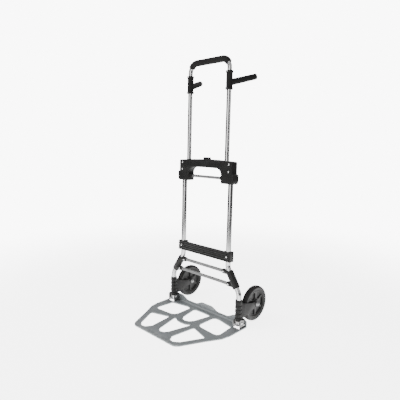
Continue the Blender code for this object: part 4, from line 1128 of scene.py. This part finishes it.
# %% [markdown]
# ## Toe plate
# The plate is one sheet, pressed so that every outline has a rolled bead. Each outline becomes a row of
# rings: from the flat on top, over the bead, down the side and back under to the flat below. The two
# flats are then filled between the outer rings and the rings of the openings.
# %% Outlines of the plate
PIVOT_H = 0.029
PIVOT_Y = PIVOT_H * sin(LEAN)
PIVOT_Z = PIVOT_H * cos(LEAN)
BACK = PIVOT_Y + 0.0285
HALF_WIDTH = 0.266
WALL_T = 0.003
FLAT_Z = 0.0054
EAR_IN, EAR_OUT, EAR_T = 0.2134, 0.2551, 0.0033


def plate_edge():
    """The outline: rounded corners at the front, and a straight back."""
    corner = arc((0.128, -0.299), (0.042, 0.042), -25, -90, 14)
    half = [(0.0, BACK), (HALF_WIDTH - 0.004, BACK), (HALF_WIDTH, BACK - 0.004), (HALF_WIDTH, -0.082)]
    half += arc((0.226, -0.094), (0.04, 0.04), 15, -24, 6)[1:]
    half += mm((257.5, -141), (236, -180), (214, -220))
    return mirrored(half + corner + mm((0, -341)))


def plate_holes():
    rear = mm((213, -26), (116, -6), (95, -8), (85, -20), (84, -105), (93, -123), (112, -130),
              (200, -137), (219, -132), (224, -116))
    front = mm((88, -157), (188, -188), (194, -197), (142, -298), (116, -317), (92, -314), (73, -285))
    rear_middle = mm((0, -4), (50, -6), (57, -16), (38, -106), (22, -128), (0, -134))
    front_middle = mm((0, -163), (30, -160), (50, -147), (60, -150), (30, -270), (18, -287), (0, -293))
    holes = [rounded(mirrored(outline), 0.01, 6) for outline in (rear_middle, front_middle)]
    for outline in (rear, front):
        holes += [rounded([(side * x, y) for x, y in outline], 0.01, 6) for side in (-1, 1)]
    return holes


BEAD = mm((6.8, 5.4), (5.8, 5.6), (5, 6.1), (4.1, 6.7), (3.1, 7), (2, 6.9), (1, 6.3), (0.3, 5.3),
          (0, 4.2), (0, 1.2), (0.3, 0.4), (0.9, 0), (2, 0), (2.6, 0.4), (2.9, 1.4), (3.1, 2.4),
          (3.6, 3.1), (4.4, 3.3))
PLAIN = mm((0.6, 5.4), (0.2, 5.2), (0, 4.7), (0, 4), (0.2, 3.5), (0.6, 3.3))
print(len(plate_edge()), "points on the edge,", len(plate_holes()), "openings")


# %% [markdown]
# The beads are made first, and the flats are filled between them with triangles, which is safe because
# they are flat. A bevel on one flat face would round its edges, but could not raise a bead.
# %% The pressed sheet
def held_back(ring):
    """Keeps the back of the outer rings inside the rear wall's thickness."""
    return [(x, BACK - 0.0028 if y < BACK - 0.0028 and y > BACK - 0.0075 and abs(x) < 0.2625 else y)
            for x, y in ring]


def loops_of(shape, outline, profile, sense, fix=None):
    """Rings along the profile and the faces between them. Returns the first and the last ring."""
    rings = []
    for inward, z in profile:
        ring = offset(outline, sense * inward) if inward else list(outline)
        ring = fix(ring) if fix else ring
        rings.append([shape.verts.new((x, y, z)) for x, y in ring])
    for first, second in zip(rings, rings[1:]):
        bridge(shape, first, second)
    return rings[0], rings[-1]


def fill_between(shape, loops):
    """Triangles inside the first loop and outside the others."""
    everything = [vert for loop in loops for vert in loop]
    for triangle in tessellate_polygon([[vert.co for vert in loop] for loop in loops]):
        corners = [everything[i] for i in triangle]
        if len(set(corners)) == 3:
            shape.faces.new(corners)


def pressed_sheet():
    shape = bmesh.new()
    ends = [loops_of(shape, plate_edge(), BEAD, 1, held_back)]
    ends += [loops_of(shape, hole, BEAD, -1) for hole in plate_holes()]
    for side in (-1, 1):
        pocket = [(side * (EAR_IN + EAR_T), -0.017), (side * EAR_OUT, -0.017),
                  (side * EAR_OUT, BACK - WALL_T), (side * (EAR_IN + EAR_T), BACK - WALL_T)]
        ends.append(loops_of(shape, offset(rounded(pocket, 0.003, 4), 0.0004), PLAIN, -1))
    for flat in zip(*ends):
        fill_between(shape, flat)
    return shape


# %% [markdown]
# The back of the sheet curves up into a wall with a wavy top. At each station across the plate the wall
# has a section: the back, a rounded top, the front and a fillet down to the flat. Between the ears,
# where the tube's foot stands, the fillet shrinks to nothing.
# %% The rear wall
def along_steps(x, steps):
    """A smooth value at x from (x, value) steps."""
    for (x0, v0), (x1, v1) in zip(steps, steps[1:]):
        if x <= x1:
            t = (x - x0) / (x1 - x0)
            return v0 + (v1 - v0) * t * t * (3 - 2 * t)
    return steps[-1][1]


WALL_TOP = mm((0, 41), (30, 41), (83, 22.8), (90, 22.5), (138, 22.5), (192, 42.8), (200, 43), (250, 43),
              (266, 33))
FILLET = mm((0, 11), (196, 11), (208, 0.4), (266, 0.4))


def wall_section(x):
    top, fillet = along_steps(abs(x), WALL_TOP), along_steps(abs(x), FILLET)
    front, floor, r = BACK - WALL_T, FLAT_Z, 0.0014
    rim = arc((BACK - WALL_T / 2, top - r), (WALL_T / 2, r), 0, 180, 6)
    curve = arc((front - fillet, floor + fillet), (fillet, -fillet), 0, 90, 6)
    return [(BACK, 0.0012), (BACK, 0.01)] + rim + curve + [(front - fillet, 0.0036), (BACK - 0.002, 0.0012)]


def rear_wall(count=220):
    stations = [HALF_WIDTH * (2 * i / count - 1) for i in range(count + 1)]
    rings = [[(x, y, z) for y, z in wall_section(x)] for x in stations]
    return rings_of(bmesh.new(), rings, False)


print("the wall is", WALL_TOP[0][1], "m high in the middle")


# %% [markdown]
# Each hinge bracket is a plated strip with two ears and a strap behind them. The tube's foot turns on a
# pin between the ears. Flat shapes joined together are enough, as the bends are tight.
# %% Hinge brackets and the plate's pieces
def ear(top_front, top_back, x_limits):
    back, low = BACK - WALL_T - GAP, FLAT_Z + GAP
    outline = [(-0.014, low), (back, low), (back, top_back), (back - 0.01, top_back + 0.001),
               (-0.006, top_front), (-0.012, top_front - 0.003), (-0.014, top_front - 0.008)]
    return prism(rounded(outline, 0.0035, 5), *x_limits, "x")


def hinge_bracket(side):
    back = BACK - WALL_T - GAP
    outer = sorted((side * EAR_OUT, side * (EAR_OUT + EAR_T)))
    inner = sorted((side * EAR_IN, side * (EAR_IN + EAR_T)))
    strap = sorted((side * (EAR_IN + EAR_T / 2), side * (EAR_OUT + EAR_T / 2)))
    pivot = (0, PIVOT_Y, PIVOT_Z)
    return carved(ear(0.048, 0.038, outer), (ADD, ear(0.04, 0.036, inner)),
                  (ADD, box(strap, (back - 0.0025, back), (0.0075, 0.034))),
                  (CUT, laid(rod(0.0044, 0.2, 0.27, 32), (side, 0, 0), pivot)))


piece("toe_plate_sheet", pressed_sheet(), plate_alloy, "toe_plate", ["toe_plate"], LEVEL,
      sharp=50.0)
piece("toe_plate_wall", rear_wall(), plate_alloy, "toe_plate", (), LEVEL, sharp=50.0)
for word, side in SIDES:
    piece(f"hinge_skin_{word}", eased(hinge_bracket(side), 0.0005), zinc_metal, "toe_plate",
          [f"hinge_bracket_{word}"], LEVEL)
    rivet = lathe([(0, -0.0014), (0.004, -0.0014), (0.0046, -0.0006), (0.0046, -GAP), (0.0022, -GAP),
                   (0.0022, EAR_T + GAP), (0.0046, EAR_T + GAP), (0.0044, EAR_T + 0.0012),
                   (0.0034, EAR_T + 0.0018), (0.0016, EAR_T + 0.0021), (0, EAR_T + 0.0021)], 32)
    piece(f"ear_rivet_skin_{word}", laid(rivet, (side, 0, 0), (side * EAR_OUT, 0.0165, 0.0165)),
          screw_metal, "toe_plate", [f"ear_rivet_{word}"], LEVEL)
print("toe plate:", made_pieces[-6:])

# %% [markdown]
# ## Lock springs
# Each spring stands between a rib of the crosshead and the shoulder of its lock rod. When the button
# draws the rod in by 6 mm the spring shortens towards the rib. Here it is drawn at one length.
# %% Coiled springs
def coil(side, start=0.0605, end=0.0895, turns=4, per_turn=20, radius=0.0032, wire=0.0005):
    rings = []
    count = turns * per_turn
    for i in range(count + 1):
        turn = 2 * pi * i / per_turn
        out = Vector((0, cos(turn), sin(turn)))
        x = side * (start + (end - start) * i / count)
        centre = Vector((x, -side * 0.0007, LOCK_H)) + out * radius
        angles = [2 * pi * k / 8 for k in range(8)]
        rings.append([centre + out * (wire * cos(a)) + Vector((wire * sin(a), 0, 0)) for a in angles])
    return rings_of(bmesh.new(), rings, False)


for word, side in SIDES:
    spring = piece(f"spring_skin_{word}", coil(side), spring_metal, "frame",
                   [f"lock_spring_{word}"])
    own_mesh(spring)
print("springs:", made_pieces[-2:])

# %% [markdown]
# ## Parts that keep their own shape
# The small parts inside and between the others come straight from the packed model. They get a finish,
# and a modifier rounds their edges.
# %% Remaining nodes
kept = {"foot_plug": (black_plastic, 0.0008), "pivot_pin": (screw_metal, 0.0004),
        "guide_bush": (nylon, 0.0002), "lock_rod": (zinc_metal, 0.0003),
        "thrust_washer": (nylon, 0.0003), "wheel_bush": (nylon, 0.0002)}


def keep(name, finish, width):
    thing = frame["nodes"][name]
    thing.data.materials.clear()
    thing.data.materials.append(finish)
    weld = thing.modifiers.new("weld", "WELD")
    weld.merge_threshold = 0.00001
    bevel = thing.modifiers.new("bevel", "BEVEL")
    bevel.width = width
    bevel.segments = 2
    bevel.limit_method = "ANGLE"
    bevel.angle_limit = radians(40)


for stem, (finish, width) in kept.items():
    for word, side in SIDES:
        keep(f"{stem}_{word}", finish, width)
keep("release_button", black_plastic, 0.0012)
print("kept:", ", ".join(kept), "and release_button")
